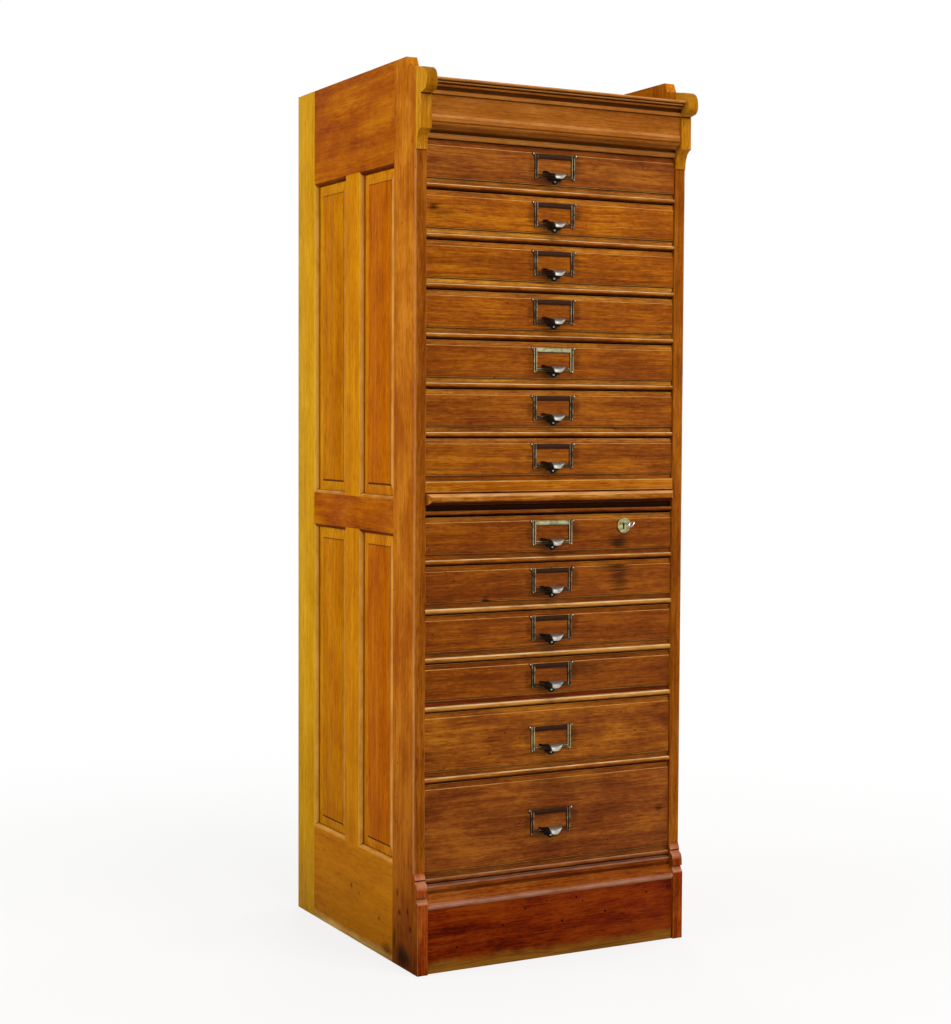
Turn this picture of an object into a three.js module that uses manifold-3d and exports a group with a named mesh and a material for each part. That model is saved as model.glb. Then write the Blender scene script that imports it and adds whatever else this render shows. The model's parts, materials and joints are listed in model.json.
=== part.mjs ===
import * as THREE from "three";
import { mergeVertices } from "three/addons/utils/BufferGeometryUtils.js";
import Module from "manifold-3d";

const wasm = await Module();
wasm.setup();

// A tall oak filing chest: thirteen drawers and a writing slide between two framed and panelled ends.
// Lengths are in millimetres. X runs to the right seen from the front, Y to the back and Z up.
// The pieces are laid out with y = 0 at the front of the posts and z = 0 on the floor.
// The group is moved at the end, so that its origin is the middle of the chest's footprint.

// Case
const caseWidth = 507;
const caseDepth = 475;
const endThickness = 19;
const endRise = 39;
const jointGap = 0.3;
const overrun = 6;

// Boards between the ends, and the housings that hold them
const boardThickness = 8.5;
const bearerThickness = 18;
const waistThickness = 18.5;
const topThickness = 13;
const topTongueThickness = 6.5;
const backThickness = 8;
const backRabbet = 9;
const backFoot = 20;
const housingSetback = 16;

// Openings for the drawers and the slide, from the floor up
const deepestOpening = 154;
const deepOpening = 106;
const shallowOpening = 70;
const slideOpening = 19.5;
const lowerOpenings = [deepestOpening, deepOpening, ...new Array(4).fill(shallowOpening)];
const upperOpenings = new Array(7).fill(shallowOpening);

// Plinth
const plinthHeight = 105;
const plinthReach = 11;
const plinthThickness = 19;
const plinthMouldingHeight = 34.5;
const plinthMouldingReach = 14;
const plinthMouldingBack = 9;
const plinthQuirk = 3;

// Cornice
const corniceHeight = 90.5;
const corniceReach = 31;
const corniceBack = 14;

// Bracket at the top of each end: a roll, a plain block and a cove, measured down from the top
const peakSetback = 35.5;
const peakDrop = 15.7;
const peakSlope = 8.2;
const rollTopReach = 13;
const rollTopDrop = 23;
const rollReach = 37.6;
const rollMiddleDrop = 47;
const rollFootReach = 23.2;
const rollFootDrop = 61.6;
const quirkReach = 15.5;
const quirkDrop = 63.5;
const blockReach = 17.5;
const blockTopDrop = 65.5;
const blockFootDrop = 117.6;
const coveFootDrop = 141;
const coveHollowReach = 5;
const coveHollowDrop = 119.5;
const lipReach = 1.5;
const lipDrop = 148.5;

// Base block at the foot of each end, measured up from the floor
const baseReach = 14.3;
const baseFaceHeight = 110;
const baseLedgeReach = 10.5;
const baseLedgeHeight = 118;
const baseNotchReach = 8;
const baseNotchHeight = 124;
const baseRoundReach = 12.4;
const baseRoundHeight = 125.5;
const baseRoundTopReach = 5.2;
const baseRoundTopHeight = 147;
const baseQuirkReach = 3;
const baseQuirkHeight = 150;
const baseSplayReach = 4.4;
const baseSplayFoot = 152.5;
const baseSplayHeight = 162;

// Frame and panels of each end
const backStile = 73;
const frontStile = 78;
const muntin = 54;
const topRail = 162;
const bottomRail = 163;
const middleRail = 55;
const middleRailFoot = 703;
const stickingWidth = 5.5;
const stickingDepth = 8.5;
const stickingSteps = 3;
const tongueThickness = 4.8;
const tongueLength = 6;
const fieldDepth = 6;
const fieldStep = 0.8;
const bevelWidth = 19;

// Drawers
const drawerSideGap = 1.2;
const drawerHeadGap = 2;
const drawerFootGap = 0.8;
const runnerGap = 0.3;
const frontSetback = 3;
const frontThickness = 19;
const frontSinking = 2.5;
const headStrip = 8.5;
const footStrip = 7;
const stripChamfer = 1.4;
const footQuirkWidth = 1;
const footQuirkDepth = 1;
const sideInset = 1;
const sideThickness = 10;
const sideDrop = 7;
const bottomThickness = 5;
const bottomRise = 6;
const drawerBackGap = 26;

// Writing slide
const slideThickness = 17.5;
const slideReach = 10;
const slideCornerRadius = 9;
const slideBackGap = 30;
const bearerCoveHeight = 9.5;
const bearerCoveDepth = 6;

// Label-holder pulls
const pullWidth = 76;
const pullHeight = 39;
const pullThickness = 1.7;
const pullHeadGap = 0.3;
const deepPullDrop = 2.5;
const earReach = 4;
const earDrop = 7;
const earRise = 1.5;
const pullFootDrop = 1.5;
const pullFootWidth = 5;
const windowWidth = 62;
const windowFoot = 6;
const windowHead = 8;
const windowBeadWidth = 2;
const windowBeadRise = 1.1;
const tabRadius = 7.5;
const tabCentreDrop = 1.5;
const tabHalfWidth = 22;
const hoodHalfWidth = 24;
const hoodRise = 8.8;
const hoodReach = 17;
const hoodDrop = 9.2;
const hoodWall = 1.4;
const hoodSteps = 4;

// Lock of the first drawer under the slide
const lockInset = 96;
const lockAxisDrop = 17;
const escutcheonRadius = 12.5;
const escutcheonThickness = 1.2;
const escutcheonRimWidth = 2.2;
const escutcheonRimRise = 0.9;
const escutcheonAxisRise = 2.8;
const keyholeRadius = 2.6;
const keyholeSlotWidth = 3;
const keyholeSlotDrop = 9.5;
const boreMargin = 1;
const lockCaseWidth = 44;
const lockCaseHeight = 30;
const lockCaseFront = 9;
const lockCaseWall = 1.5;
const lockChamberRadius = 7.8;
const lockChamberDepth = 4;
const lockWeb = 1;
const boltThickness = 3.5;
const boltWidth = 16;
const boltHeight = 25;
const boltGap = 0.3;
const boltMortiseDepth = 8;
const selvedgeWidth = 54;
const selvedgeThickness = 2;
const keyShankRadius = 1.5;
const keyBowReach = 22;
const keyBowRadius = 5.8;
const keyBowWire = 1.1;
const keyBitLength = 6.3;
const keyBitWidth = 3;
const keyBitThickness = 1.8;
const keyRestTurn = THREE.MathUtils.degToRad(37);

// Facets of round work
const noseSegments = 6;
const curveSteps = 4;
const tabSegments = 4;
const plateSegments = 12;
const shankSegments = 12;
const bowSegments = 24;
const wireSegments = 6;

// Worked out from the sizes above
const clearHalf = caseWidth / 2 - endThickness;
const backFace = caseDepth - backThickness;
const panelBackDepth = stickingDepth + jointGap + tongueThickness;
const housingDepth = endThickness - panelBackDepth - jointGap;
const footBoardFloor = plinthHeight + plinthMouldingHeight + plinthQuirk;
const panelHalfWidth = (caseDepth - backStile - frontStile - muntin) / 2;
const lockAcross = clearHalf - lockInset;

const oak = new THREE.MeshStandardMaterial({ color: 0x9c5a24, roughness: 0.45, metalness: 0 });
const goldenOak = new THREE.MeshStandardMaterial({ color: 0xb9802c, roughness: 0.45, metalness: 0 });
const paleWood = new THREE.MeshStandardMaterial({ color: 0xc9a574, roughness: 0.7, metalness: 0 });
const bronze = new THREE.MeshStandardMaterial({ color: 0x4a4038, roughness: 0.5, metalness: 0.8 });
const brass = new THREE.MeshStandardMaterial({ color: 0xb39a55, roughness: 0.35, metalness: 0.9 });
const steel = new THREE.MeshStandardMaterial({ color: 0xb8b8b4, roughness: 0.35, metalness: 0.9 });

const chest = new THREE.Group();

function addPiece(parent, name, geometry, material) {
  const mesh = new THREE.Mesh(geometry, material);
  mesh.name = name;
  parent.add(mesh);
  return mesh;
}

// Closed solids

function solidFrom(geometry) {
  const bare = geometry.clone();
  bare.deleteAttribute("normal");
  bare.deleteAttribute("uv");
  const merged = mergeVertices(bare);
  return new wasm.Manifold(new wasm.Mesh({
    numProp: 3,
    vertProperties: new Float32Array(merged.attributes.position.array),
    triVerts: new Uint32Array(merged.index.array),
  }));
}

function geometryFrom(solid) {
  const mesh = solid.getMesh();
  const geometry = new THREE.BufferGeometry();
  geometry.setAttribute("position", new THREE.BufferAttribute(mesh.vertProperties, 3));
  geometry.setIndex(new THREE.BufferAttribute(mesh.triVerts, 1));
  geometry.computeVertexNormals();
  return geometry;
}

function cutFrom(solid, cutters) {
  return cutters.reduce((rest, cutter) => rest.subtract(cutter), solid);
}

function boxBetween(low, high) {
  const geometry = new THREE.BoxGeometry(high[0] - low[0], high[1] - low[1], high[2] - low[2]);
  geometry.translate((low[0] + high[0]) / 2, (low[1] + high[1]) / 2, (low[2] + high[2]) / 2);
  return geometry;
}

// A profile drawn in Y and Z, run along X between two places
function runAlongX(profile, from, to, curveSegments = curveSteps) {
  const geometry = new THREE.ExtrudeGeometry(profile, {
    depth: to - from,
    bevelEnabled: false,
    curveSegments,
  });
  const axes = new THREE.Matrix4().makeBasis(
    new THREE.Vector3(0, 1, 0),
    new THREE.Vector3(0, 0, 1),
    new THREE.Vector3(1, 0, 0),
  );
  geometry.applyMatrix4(axes);
  geometry.translate(from, 0, 0);
  return geometry;
}

// An outline drawn in X and Z, standing out towards the front from a plane of constant y
function standOut(outline, backPlane, thickness, curveSegments = curveSteps) {
  const geometry = new THREE.ExtrudeGeometry(outline, {
    depth: thickness,
    bevelEnabled: false,
    curveSegments,
  });
  geometry.rotateX(Math.PI / 2);
  geometry.translate(0, backPlane, 0);
  return geometry;
}

// An outline drawn in X and Y, standing up from a level
function standUp(outline, level, thickness, curveSegments = curveSteps) {
  const geometry = new THREE.ExtrudeGeometry(outline, {
    depth: thickness,
    bevelEnabled: false,
    curveSegments,
  });
  geometry.translate(0, 0, level);
  return geometry;
}

function shapeFrom(points) {
  return new THREE.Shape(points.map(([across, up]) => new THREE.Vector2(across, up)));
}

function rectangle(left, right, foot, head) {
  return [[left, foot], [right, foot], [right, head], [left, head]];
}

// Skin over a row of like sections that follow each other along X, each counterclockwise seen from +X
function loftAlongX(sections) {
  const count = sections[0].length;
  const positions = sections.flat(2);
  const faces = [];
  for (let row = 0; row < sections.length - 1; row++) {
    for (let column = 0; column < count; column++) {
      const next = (column + 1) % count;
      const here = row * count;
      const there = here + count;
      faces.push(here + column, here + next, there + next);
      faces.push(here + column, there + next, there + column);
    }
  }
  const last = (sections.length - 1) * count;
  faces.push(...capFaces(sections[0], 0, false), ...capFaces(sections.at(-1), last, true));
  const geometry = new THREE.BufferGeometry();
  geometry.setAttribute("position", new THREE.Float32BufferAttribute(positions, 3));
  geometry.setIndex(faces);
  return geometry;
}

function capFaces(section, offset, facesForward) {
  const flat = section.map(([, y, z]) => new THREE.Vector2(y, z));
  return THREE.ShapeUtils.triangulateShape(flat, []).flatMap(([a, b, c]) => {
    const ab = flat[b].clone().sub(flat[a]);
    const ac = flat[c].clone().sub(flat[a]);
    const counterclockwise = ab.cross(ac) > 0;
    const order = counterclockwise === facesForward ? [a, b, c] : [a, c, b];
    return order.map((corner) => corner + offset);
  });
}

// Rectangles in Y and Z at rising depths from the outer face of an end, joined into one solid.
// side is -1 for the left end and +1 for the right one.
function steppedBlock(side, steps) {
  const sections = steps.map(({ depth, low, high }) => {
    const x = side * (caseWidth / 2 - depth);
    return [[x, low[0], low[1]], [x, high[0], low[1]], [x, high[0], high[1]], [x, low[0], high[1]]];
  });
  if (side > 0) {
    sections.reverse();
  }
  return loftAlongX(sections);
}

function inset(opening, amount) {
  return {
    low: [opening.low[0] + amount, opening.low[1] + amount],
    high: [opening.high[0] - amount, opening.high[1] - amount],
  };
}

function numbered(word, number) {
  return `${word}_${String(number).padStart(2, "0")}`;
}

// Heights of every board and opening, worked out from the floor up
function stackHeights() {
  const drawers = [];
  let level = footBoardFloor + boardThickness;
  let number = lowerOpenings.length + upperOpenings.length;
  const boards = [
    { name: numbered("dust_board", number), floor: footBoardFloor, thickness: boardThickness },
  ];
  lowerOpenings.forEach((opening, index) => {
    drawers.push({ number, floor: level, opening });
    level += opening;
    const last = index === lowerOpenings.length - 1;
    const thickness = last ? bearerThickness : boardThickness;
    const name = last ? "slide_bearer_board" : numbered("dust_board", number - 1);
    boards.push({ name, floor: level, thickness });
    level += thickness;
    number -= 1;
  });
  const slideFloor = level;
  level += slideOpening;
  boards.push({ name: "waist_board", floor: level, thickness: waistThickness });
  level += waistThickness;
  upperOpenings.forEach((opening, index) => {
    drawers.push({ number, floor: level, opening });
    level += opening;
    if (index < upperOpenings.length - 1) {
      const name = numbered("dust_board", number - 1);
      boards.push({ name, floor: level, thickness: boardThickness });
      level += boardThickness;
    }
    number -= 1;
  });
  return { boards, drawers, slideFloor, corniceFloor: level };
}

const stack = stackHeights();
const corniceTop = stack.corniceFloor + corniceHeight;
const endTop = corniceTop + endRise;
const topFloor = corniceTop - topThickness;

// Ends: stiles, rails and muntin of one thickness, with the bracket and base block on the front edge

function endOutline() {
  const down = (drop) => endTop - drop;
  const outline = new THREE.Shape();
  outline.moveTo(caseDepth, 0);
  outline.lineTo(caseDepth, endTop);
  outline.lineTo(peakSetback, endTop);
  outline.lineTo(peakSetback - peakSlope, down(peakDrop));
  outline.lineTo(-rollTopReach, down(rollTopDrop));
  outline.quadraticCurveTo(-rollReach, down(rollTopDrop), -rollReach, down(rollMiddleDrop));
  outline.quadraticCurveTo(-rollReach, down(rollFootDrop), -rollFootReach, down(rollFootDrop));
  outline.lineTo(-quirkReach, down(quirkDrop));
  outline.lineTo(-blockReach, down(blockTopDrop));
  outline.lineTo(-blockReach, down(blockFootDrop));
  outline.quadraticCurveTo(-coveHollowReach, down(coveHollowDrop), -lipReach, down(coveFootDrop));
  outline.lineTo(-lipReach, down(lipDrop));
  outline.lineTo(0, down(lipDrop));
  outline.lineTo(0, baseSplayHeight);
  outline.lineTo(-baseSplayReach, baseSplayFoot);
  outline.lineTo(-baseQuirkReach, baseQuirkHeight);
  outline.lineTo(-baseRoundTopReach, baseRoundTopHeight);
  outline.quadraticCurveTo(-baseRoundReach, baseRoundTopHeight, -baseRoundReach, baseRoundHeight);
  outline.lineTo(-baseNotchReach, baseNotchHeight);
  outline.lineTo(-baseLedgeReach, baseLedgeHeight);
  outline.quadraticCurveTo(-baseReach, baseLedgeHeight, -baseReach, baseFaceHeight);
  outline.lineTo(-baseReach, 0);
  outline.closePath();
  return outline;
}

// The four openings of an end at its outer face, front to back and top to bottom
function endOpenings() {
  const columns = [
    { name: "front", from: frontStile, to: frontStile + panelHalfWidth },
    { name: "back", from: frontStile + panelHalfWidth + muntin, to: caseDepth - backStile },
  ];
  const rows = [
    { name: "upper", from: middleRailFoot + middleRail, to: endTop - topRail },
    { name: "lower", from: bottomRail, to: middleRailFoot },
  ];
  return rows.flatMap((row) => columns.map((column) => ({
    name: `${row.name}_${column.name}`,
    low: [column.from, row.from],
    high: [column.to, row.to],
  })));
}

// The moulded opening: an ovolo runs round its edge down to the panel, and goes on straight inside
function stickingCutter(side, opening) {
  const steps = [{ depth: -overrun, ...inset(opening, 0) }];
  for (let step = 0; step <= stickingSteps; step++) {
    const turn = (Math.PI / 2) * (step / stickingSteps);
    const depth = stickingDepth * (1 - Math.cos(turn));
    steps.push({ depth, ...inset(opening, stickingWidth * Math.sin(turn)) });
  }
  steps.push({ depth: endThickness + overrun, ...inset(opening, stickingWidth) });
  return solidFrom(steppedBlock(side, steps));
}

function grooveCutter(side, opening) {
  const edge = inset(opening, stickingWidth - tongueLength - jointGap);
  const near = stickingDepth;
  const far = panelBackDepth + jointGap;
  return solidFrom(steppedBlock(side, [{ depth: near, ...edge }, { depth: far, ...edge }]));
}

// The blind housing that takes the end of a board
function housingCutter(side, floor, thickness, front, back) {
  const near = side * (clearHalf - overrun);
  const far = side * (clearHalf + housingDepth + jointGap);
  const low = [Math.min(near, far), front - jointGap, floor - jointGap];
  const high = [Math.max(near, far), back + jointGap, floor + thickness + jointGap];
  return solidFrom(boxBetween(low, high));
}

function endGeometry(side) {
  const inner = side * clearHalf;
  const outer = side * caseWidth / 2;
  const blank = runAlongX(endOutline(), Math.min(inner, outer), Math.max(inner, outer));
  const cutters = endOpenings().flatMap((opening) => [
    stickingCutter(side, opening),
    grooveCutter(side, opening),
  ]);
  stack.boards.forEach(({ floor, thickness }) => {
    cutters.push(housingCutter(side, floor, thickness, housingSetback, backFace - jointGap));
  });
  const topFront = corniceBack + jointGap;
  cutters.push(housingCutter(side, topFloor, topTongueThickness, topFront, backFace - jointGap));
  const rabbet = [side * (clearHalf - overrun), side * (clearHalf + backRabbet)];
  cutters.push(solidFrom(boxBetween(
    [Math.min(...rabbet), backFace - jointGap, backFoot - jointGap],
    [Math.max(...rabbet), caseDepth + overrun, corniceTop + jointGap],
  )));
  return geometryFrom(cutFrom(solidFrom(blank), cutters));
}

// A raised panel: a tongue all round in the groove, a wide bevel, and a field with a small step
function panelGeometry(side, opening) {
  const tongueEdge = inset(opening, stickingWidth - tongueLength);
  const sight = inset(opening, stickingWidth + jointGap);
  const bevelEnd = inset(opening, stickingWidth + bevelWidth);
  const tongueDepth = stickingDepth + jointGap;
  return steppedBlock(side, [
    { depth: fieldDepth, ...bevelEnd },
    { depth: fieldDepth + fieldStep, ...bevelEnd },
    { depth: tongueDepth, ...sight },
    { depth: tongueDepth, ...tongueEdge },
    { depth: panelBackDepth, ...tongueEdge },
  ]);
}

function addEnds() {
  for (const [side, word] of [[-1, "left"], [1, "right"]]) {
    addPiece(chest, `${word}_end_frame`, endGeometry(side), goldenOak);
    for (const opening of endOpenings()) {
      addPiece(chest, `${word}_panel_${opening.name}`, panelGeometry(side, opening), goldenOak);
    }
  }
}

// Boards: each has a moulded front edge between the posts and enters the ends behind them

function noseProfile(thickness, back) {
  const radius = thickness / 2;
  const profile = new THREE.Shape();
  profile.moveTo(back, 0);
  profile.lineTo(back, thickness);
  profile.lineTo(radius, thickness);
  profile.absarc(radius, radius, radius, Math.PI / 2, Math.PI * 3 / 2, false);
  profile.closePath();
  return profile;
}

function waistProfile(thickness, back) {
  const ease = stripChamfer;
  return shapeFrom([
    [back, 0], [back, thickness], [ease, thickness], [0, thickness - ease], [0, ease], [ease, 0],
  ]);
}

// The bearer under the slide has a bead below and a finger cove above it
function bearerProfile(thickness, back) {
  const radius = (thickness - bearerCoveHeight) / 2;
  const profile = new THREE.Shape();
  profile.moveTo(back, 0);
  profile.lineTo(back, thickness);
  profile.lineTo(bearerCoveDepth, thickness);
  profile.quadraticCurveTo(bearerCoveDepth, 2 * radius, radius, 2 * radius);
  profile.absarc(radius, radius, radius, Math.PI / 2, Math.PI * 3 / 2, false);
  profile.closePath();
  return profile;
}

function boardSolid(profile, thickness) {
  const edge = clearHalf - jointGap;
  const reach = clearHalf + housingDepth;
  const middle = solidFrom(runAlongX(profile, -edge, edge, noseSegments));
  const housed = boxBetween([-reach, housingSetback, 0], [reach, backFace - jointGap, thickness]);
  return middle.add(solidFrom(housed));
}

function addBoards() {
  const back = backFace - jointGap;
  const plain = geometryFrom(boardSolid(noseProfile(boardThickness, back), boardThickness));
  for (const { name, floor, thickness } of stack.boards) {
    let geometry = plain;
    if (name === "waist_board") {
      geometry = geometryFrom(boardSolid(waistProfile(thickness, back), thickness));
    }
    if (name === "slide_bearer_board") {
      const board = boardSolid(bearerProfile(thickness, back), thickness);
      geometry = geometryFrom(cutFrom(board, [boltMortise()]));
    }
    addPiece(chest, name, geometry, oak).position.z = floor;
  }
}

// Drawers: a moulded front with the sides, back and bottom of its box.
// Each is drawn with z = 0 on the board that it runs on.

function frontProfile(height) {
  const face = frontSetback;
  const strip = frontSetback + frontSinking;
  const foot = drawerFootGap;
  const head = drawerFootGap + height;
  return shapeFrom([
    [face + frontThickness, foot],
    [face + frontThickness, head],
    [strip, head],
    [strip - stripChamfer / 2, head - headStrip + stripChamfer],
    [face, head - headStrip],
    [face, foot + footStrip + footQuirkWidth],
    [strip + footQuirkDepth, foot + footStrip + footQuirkWidth],
    [strip + footQuirkDepth, foot + footStrip],
    [strip, foot + footStrip],
    [strip, foot],
  ]);
}

function drawerSolid(opening) {
  const height = opening - drawerHeadGap - drawerFootGap;
  const halfWidth = clearHalf - drawerSideGap;
  const boxHalf = halfWidth - sideInset;
  const boxBack = backFace - drawerBackGap;
  const inside = boxHalf - sideThickness;
  const frontBack = frontSetback + frontThickness;
  const boxFront = frontSetback + frontSinking + frontThickness / 2;
  const boxHead = drawerFootGap + height - sideDrop;
  const floor = runnerGap + bottomRise + bottomThickness;
  const front = solidFrom(runAlongX(frontProfile(height), -halfWidth, halfWidth));
  const block = boxBetween([-boxHalf, boxFront, runnerGap], [boxHalf, boxBack, boxHead]);
  const inner = boxBetween(
    [-inside, frontBack, floor],
    [inside, boxBack - sideThickness, boxHead + overrun],
  );
  const under = boxBetween(
    [-inside, frontBack, runnerGap - overrun],
    [inside, boxBack - sideThickness, runnerGap + bottomRise],
  );
  return cutFrom(front.add(solidFrom(block)), [solidFrom(inner), solidFrom(under)]);
}

// Pulls: a cast frame for a label, with a hood at its foot that the fingers reach under.
// Each is drawn round the middle of its frame, with y = 0 on the drawer's face.

function pullOutline() {
  const half = pullWidth / 2;
  const foot = -pullHeight / 2;
  const head = pullHeight / 2;
  const tabCentre = foot - tabCentreDrop;
  const outline = new THREE.Shape();
  outline.moveTo(-half, foot - pullFootDrop);
  outline.lineTo(-half + pullFootWidth, foot - pullFootDrop);
  outline.lineTo(-half + pullFootWidth, foot);
  outline.lineTo(-tabHalfWidth, foot);
  outline.quadraticCurveTo(-tabRadius - tabCentreDrop, foot, -tabRadius, tabCentre);
  outline.absarc(0, tabCentre, tabRadius, Math.PI, Math.PI * 2, false);
  outline.quadraticCurveTo(tabRadius + tabCentreDrop, foot, tabHalfWidth, foot);
  outline.lineTo(half - pullFootWidth, foot);
  outline.lineTo(half - pullFootWidth, foot - pullFootDrop);
  outline.lineTo(half, foot - pullFootDrop);
  outline.lineTo(half, head - earDrop);
  outline.quadraticCurveTo(half, head - earDrop / 2, half + earReach, head - earRise / 2);
  outline.lineTo(half + earReach - earRise, head + earRise);
  outline.lineTo(half - earRise, head);
  outline.lineTo(earRise - half, head);
  outline.lineTo(earRise - half - earReach, head + earRise);
  outline.lineTo(-half - earReach, head - earRise / 2);
  outline.quadraticCurveTo(-half, head - earDrop / 2, -half, head - earDrop);
  outline.closePath();
  return outline;
}

function windowOutline(margin) {
  const half = windowWidth / 2 + margin;
  const foot = windowFoot - pullHeight / 2 - margin;
  const head = pullHeight / 2 - windowHead + margin;
  return rectangle(-half, half, foot, head);
}

function withHole(outline, hole) {
  outline.holes.push(new THREE.Path(hole.map(([across, up]) => new THREE.Vector2(across, up))));
  return outline;
}

// Across, reach and drop of the hood's rim, as shares, from its middle to its end
const hoodShares = [
  [0, 1, 1], [0.2, 0.97, 0.96], [0.37, 0.86, 0.8], [0.53, 0.7, 0.5], [0.69, 0.53, 0.18],
  [0.85, 0.35, 0], [1, 0.12, 0],
];

// One section of the hood: a thin roof in Y and Z that curves out and down from the window's foot
function hoodSection([acrossShare, reachShare, dropShare]) {
  const x = acrossShare * hoodHalfWidth;
  const reach = reachShare * hoodReach;
  const drop = dropShare * hoodDrop;
  const head = hoodRise - pullHeight / 2;
  const foot = windowFoot - pullHeight / 2 - windowBeadWidth;
  const root = -jointGap - pullThickness / 2;
  const face = -jointGap - pullThickness;
  const outer = [];
  const inner = [];
  for (let step = 0; step <= hoodSteps; step++) {
    const bend = (Math.PI / 2) * (step / hoodSteps);
    const out = Math.sin(bend);
    const down = drop * (1 - Math.cos(bend));
    outer.push([x, face - reach * out, head - down]);
    inner.push([x, face - (reach - hoodWall) * out, head - hoodWall - down]);
  }
  return [[x, root, head], ...outer, ...inner.reverse(), [x, face, foot], [x, root, foot]];
}

function pullGeometry() {
  const frame = withHole(pullOutline(), windowOutline(0));
  const bead = withHole(shapeFrom(windowOutline(windowBeadWidth)), windowOutline(0));
  const leftShares = hoodShares.slice(1).reverse().map(([across, ...rest]) => [-across, ...rest]);
  const sections = [...leftShares, ...hoodShares].map(hoodSection);
  const plate = solidFrom(standOut(frame, -jointGap, pullThickness, tabSegments));
  const beadBack = -jointGap - pullThickness / 2;
  const raised = solidFrom(standOut(bead, beadBack, pullThickness / 2 + windowBeadRise));
  return geometryFrom(plate.add(raised).add(solidFrom(loftAlongX(sections))));
}

// The pull sits right under the field's head, but near the middle of the two deep drawers
function pullMiddle(opening) {
  const middle = (opening - drawerHeadGap + drawerFootGap) / 2;
  const head = opening - drawerHeadGap - headStrip;
  return opening === shallowOpening ? head - pullHeadGap - pullHeight / 2 : middle - deepPullDrop;
}

function addDrawers() {
  const pull = pullGeometry();
  const boxes = new Map();
  for (const { number, floor, opening } of stack.drawers) {
    const group = new THREE.Group();
    group.position.z = floor;
    chest.add(group);
    const locked = number === upperOpenings.length + 1;
    if (!boxes.has(opening)) {
      boxes.set(opening, drawerSolid(opening));
    }
    const solid = boxes.get(opening);
    const geometry = geometryFrom(locked ? cutFrom(solid, lockCutters(opening)) : solid);
    addPiece(group, numbered("drawer", number), geometry, oak);
    const handle = addPiece(group, numbered("pull", number), pull, bronze);
    handle.position.set(0, frontSetback, pullMiddle(opening));
    if (locked) {
      addLock(group, opening);
    }
  }
}

// Lock: a case let into the back of the front, with its bolt above the key.
// It is drawn with x = 0 and z = 0 on the key's axis, in the drawer's group.

function keyAxis(opening) {
  return opening - drawerHeadGap - lockAxisDrop;
}

function keyholeOutline(margin) {
  const radius = keyholeRadius + margin;
  const half = keyholeSlotWidth / 2 + margin;
  const bend = Math.asin(half / radius);
  const outline = new THREE.Shape();
  outline.moveTo(-half, -keyholeSlotDrop - margin);
  outline.lineTo(half, -keyholeSlotDrop - margin);
  outline.absarc(0, 0, radius, bend - Math.PI / 2, Math.PI * 3 / 2 - bend, false);
  outline.closePath();
  return outline;
}

function lockBox(halfWidth, near, far, foot, head) {
  return boxBetween([-halfWidth, near, foot], [halfWidth, far, head]);
}

const lockCaseBack = frontSetback + frontThickness - jointGap;
const lockHead = lockAxisDrop - jointGap;
const lockFoot = lockHead - lockCaseHeight;
const boltFront = lockCaseFront + lockCaseWall + lockChamberDepth + lockWeb;

function lockCutters(opening) {
  const axis = keyAxis(opening);
  const gap = jointGap;
  const front = lockCaseFront - gap;
  const back = lockCaseBack + overrun;
  const keyhole = standOut(keyholeOutline(boreMargin), lockCaseFront + overrun, frontThickness);
  const half = lockCaseWidth / 2 + gap;
  const caseBox = lockBox(half, front, back, lockFoot - gap, lockHead + overrun);
  const selvedge = lockBox(
    selvedgeWidth / 2 + gap, front, back, lockHead - selvedgeThickness - gap, lockHead + overrun,
  );
  return [keyhole, caseBox, selvedge].map((geometry) => {
    geometry.translate(lockAcross, 0, axis);
    return solidFrom(geometry);
  });
}

// The mortise for the bolt in the board above, drawn from that board's underside
function boltMortise() {
  const half = boltWidth / 2 + boltGap;
  const front = boltFront;
  const back = boltFront + boltThickness + 2 * boltGap;
  const geometry = lockBox(half, front, back, -overrun, boltMortiseDepth);
  geometry.translate(lockAcross, 0, 0);
  return solidFrom(geometry);
}

function escutcheonGeometry() {
  const outline = new THREE.Shape();
  outline.absarc(0, -escutcheonAxisRise, escutcheonRadius, 0, Math.PI * 2, false);
  outline.holes.push(keyholeOutline(0));
  const rim = new THREE.Shape();
  rim.absarc(0, -escutcheonAxisRise, escutcheonRadius, 0, Math.PI * 2, false);
  const hole = new THREE.Path();
  hole.absarc(0, -escutcheonAxisRise, escutcheonRadius - escutcheonRimWidth, 0, Math.PI * 2, true);
  rim.holes.push(hole);
  const plane = frontSetback - jointGap;
  const plate = standOut(outline, plane, escutcheonThickness, plateSegments);
  const middle = plane - escutcheonThickness / 2;
  const rise = escutcheonThickness / 2 + escutcheonRimRise;
  const ring = standOut(rim, middle, rise, plateSegments);
  return geometryFrom(solidFrom(plate).add(solidFrom(ring)));
}

function lockCaseGeometry() {
  const half = lockCaseWidth / 2;
  const inner = lockCaseFront + lockCaseWall;
  const body = solidFrom(lockBox(half, lockCaseFront, lockCaseBack, lockFoot, lockHead));
  const selvedge = lockBox(
    selvedgeWidth / 2, lockCaseFront, lockCaseBack, lockHead - selvedgeThickness, lockHead,
  );
  const keyway = standOut(keyholeOutline(0), inner + lockChamberDepth / 2, frontThickness);
  const chamberOutline = new THREE.Shape();
  chamberOutline.absarc(0, 0, lockChamberRadius, 0, Math.PI * 2, false);
  const chamber = standOut(chamberOutline, inner + lockChamberDepth, lockChamberDepth, shankSegments);
  const channel = lockBox(
    boltWidth / 2 + boltGap, boltFront, boltFront + boltThickness + 2 * boltGap,
    lockHead - boltHeight - 2 * boltGap, lockHead + overrun,
  );
  const cutters = [keyway, chamber, channel].map(solidFrom);
  return geometryFrom(cutFrom(body.add(solidFrom(selvedge)), cutters));
}

function boltGeometry() {
  const front = boltFront + boltGap;
  const head = lockHead - boltGap;
  return lockBox(boltWidth / 2, front, front + boltThickness, head - boltHeight, head);
}

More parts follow.
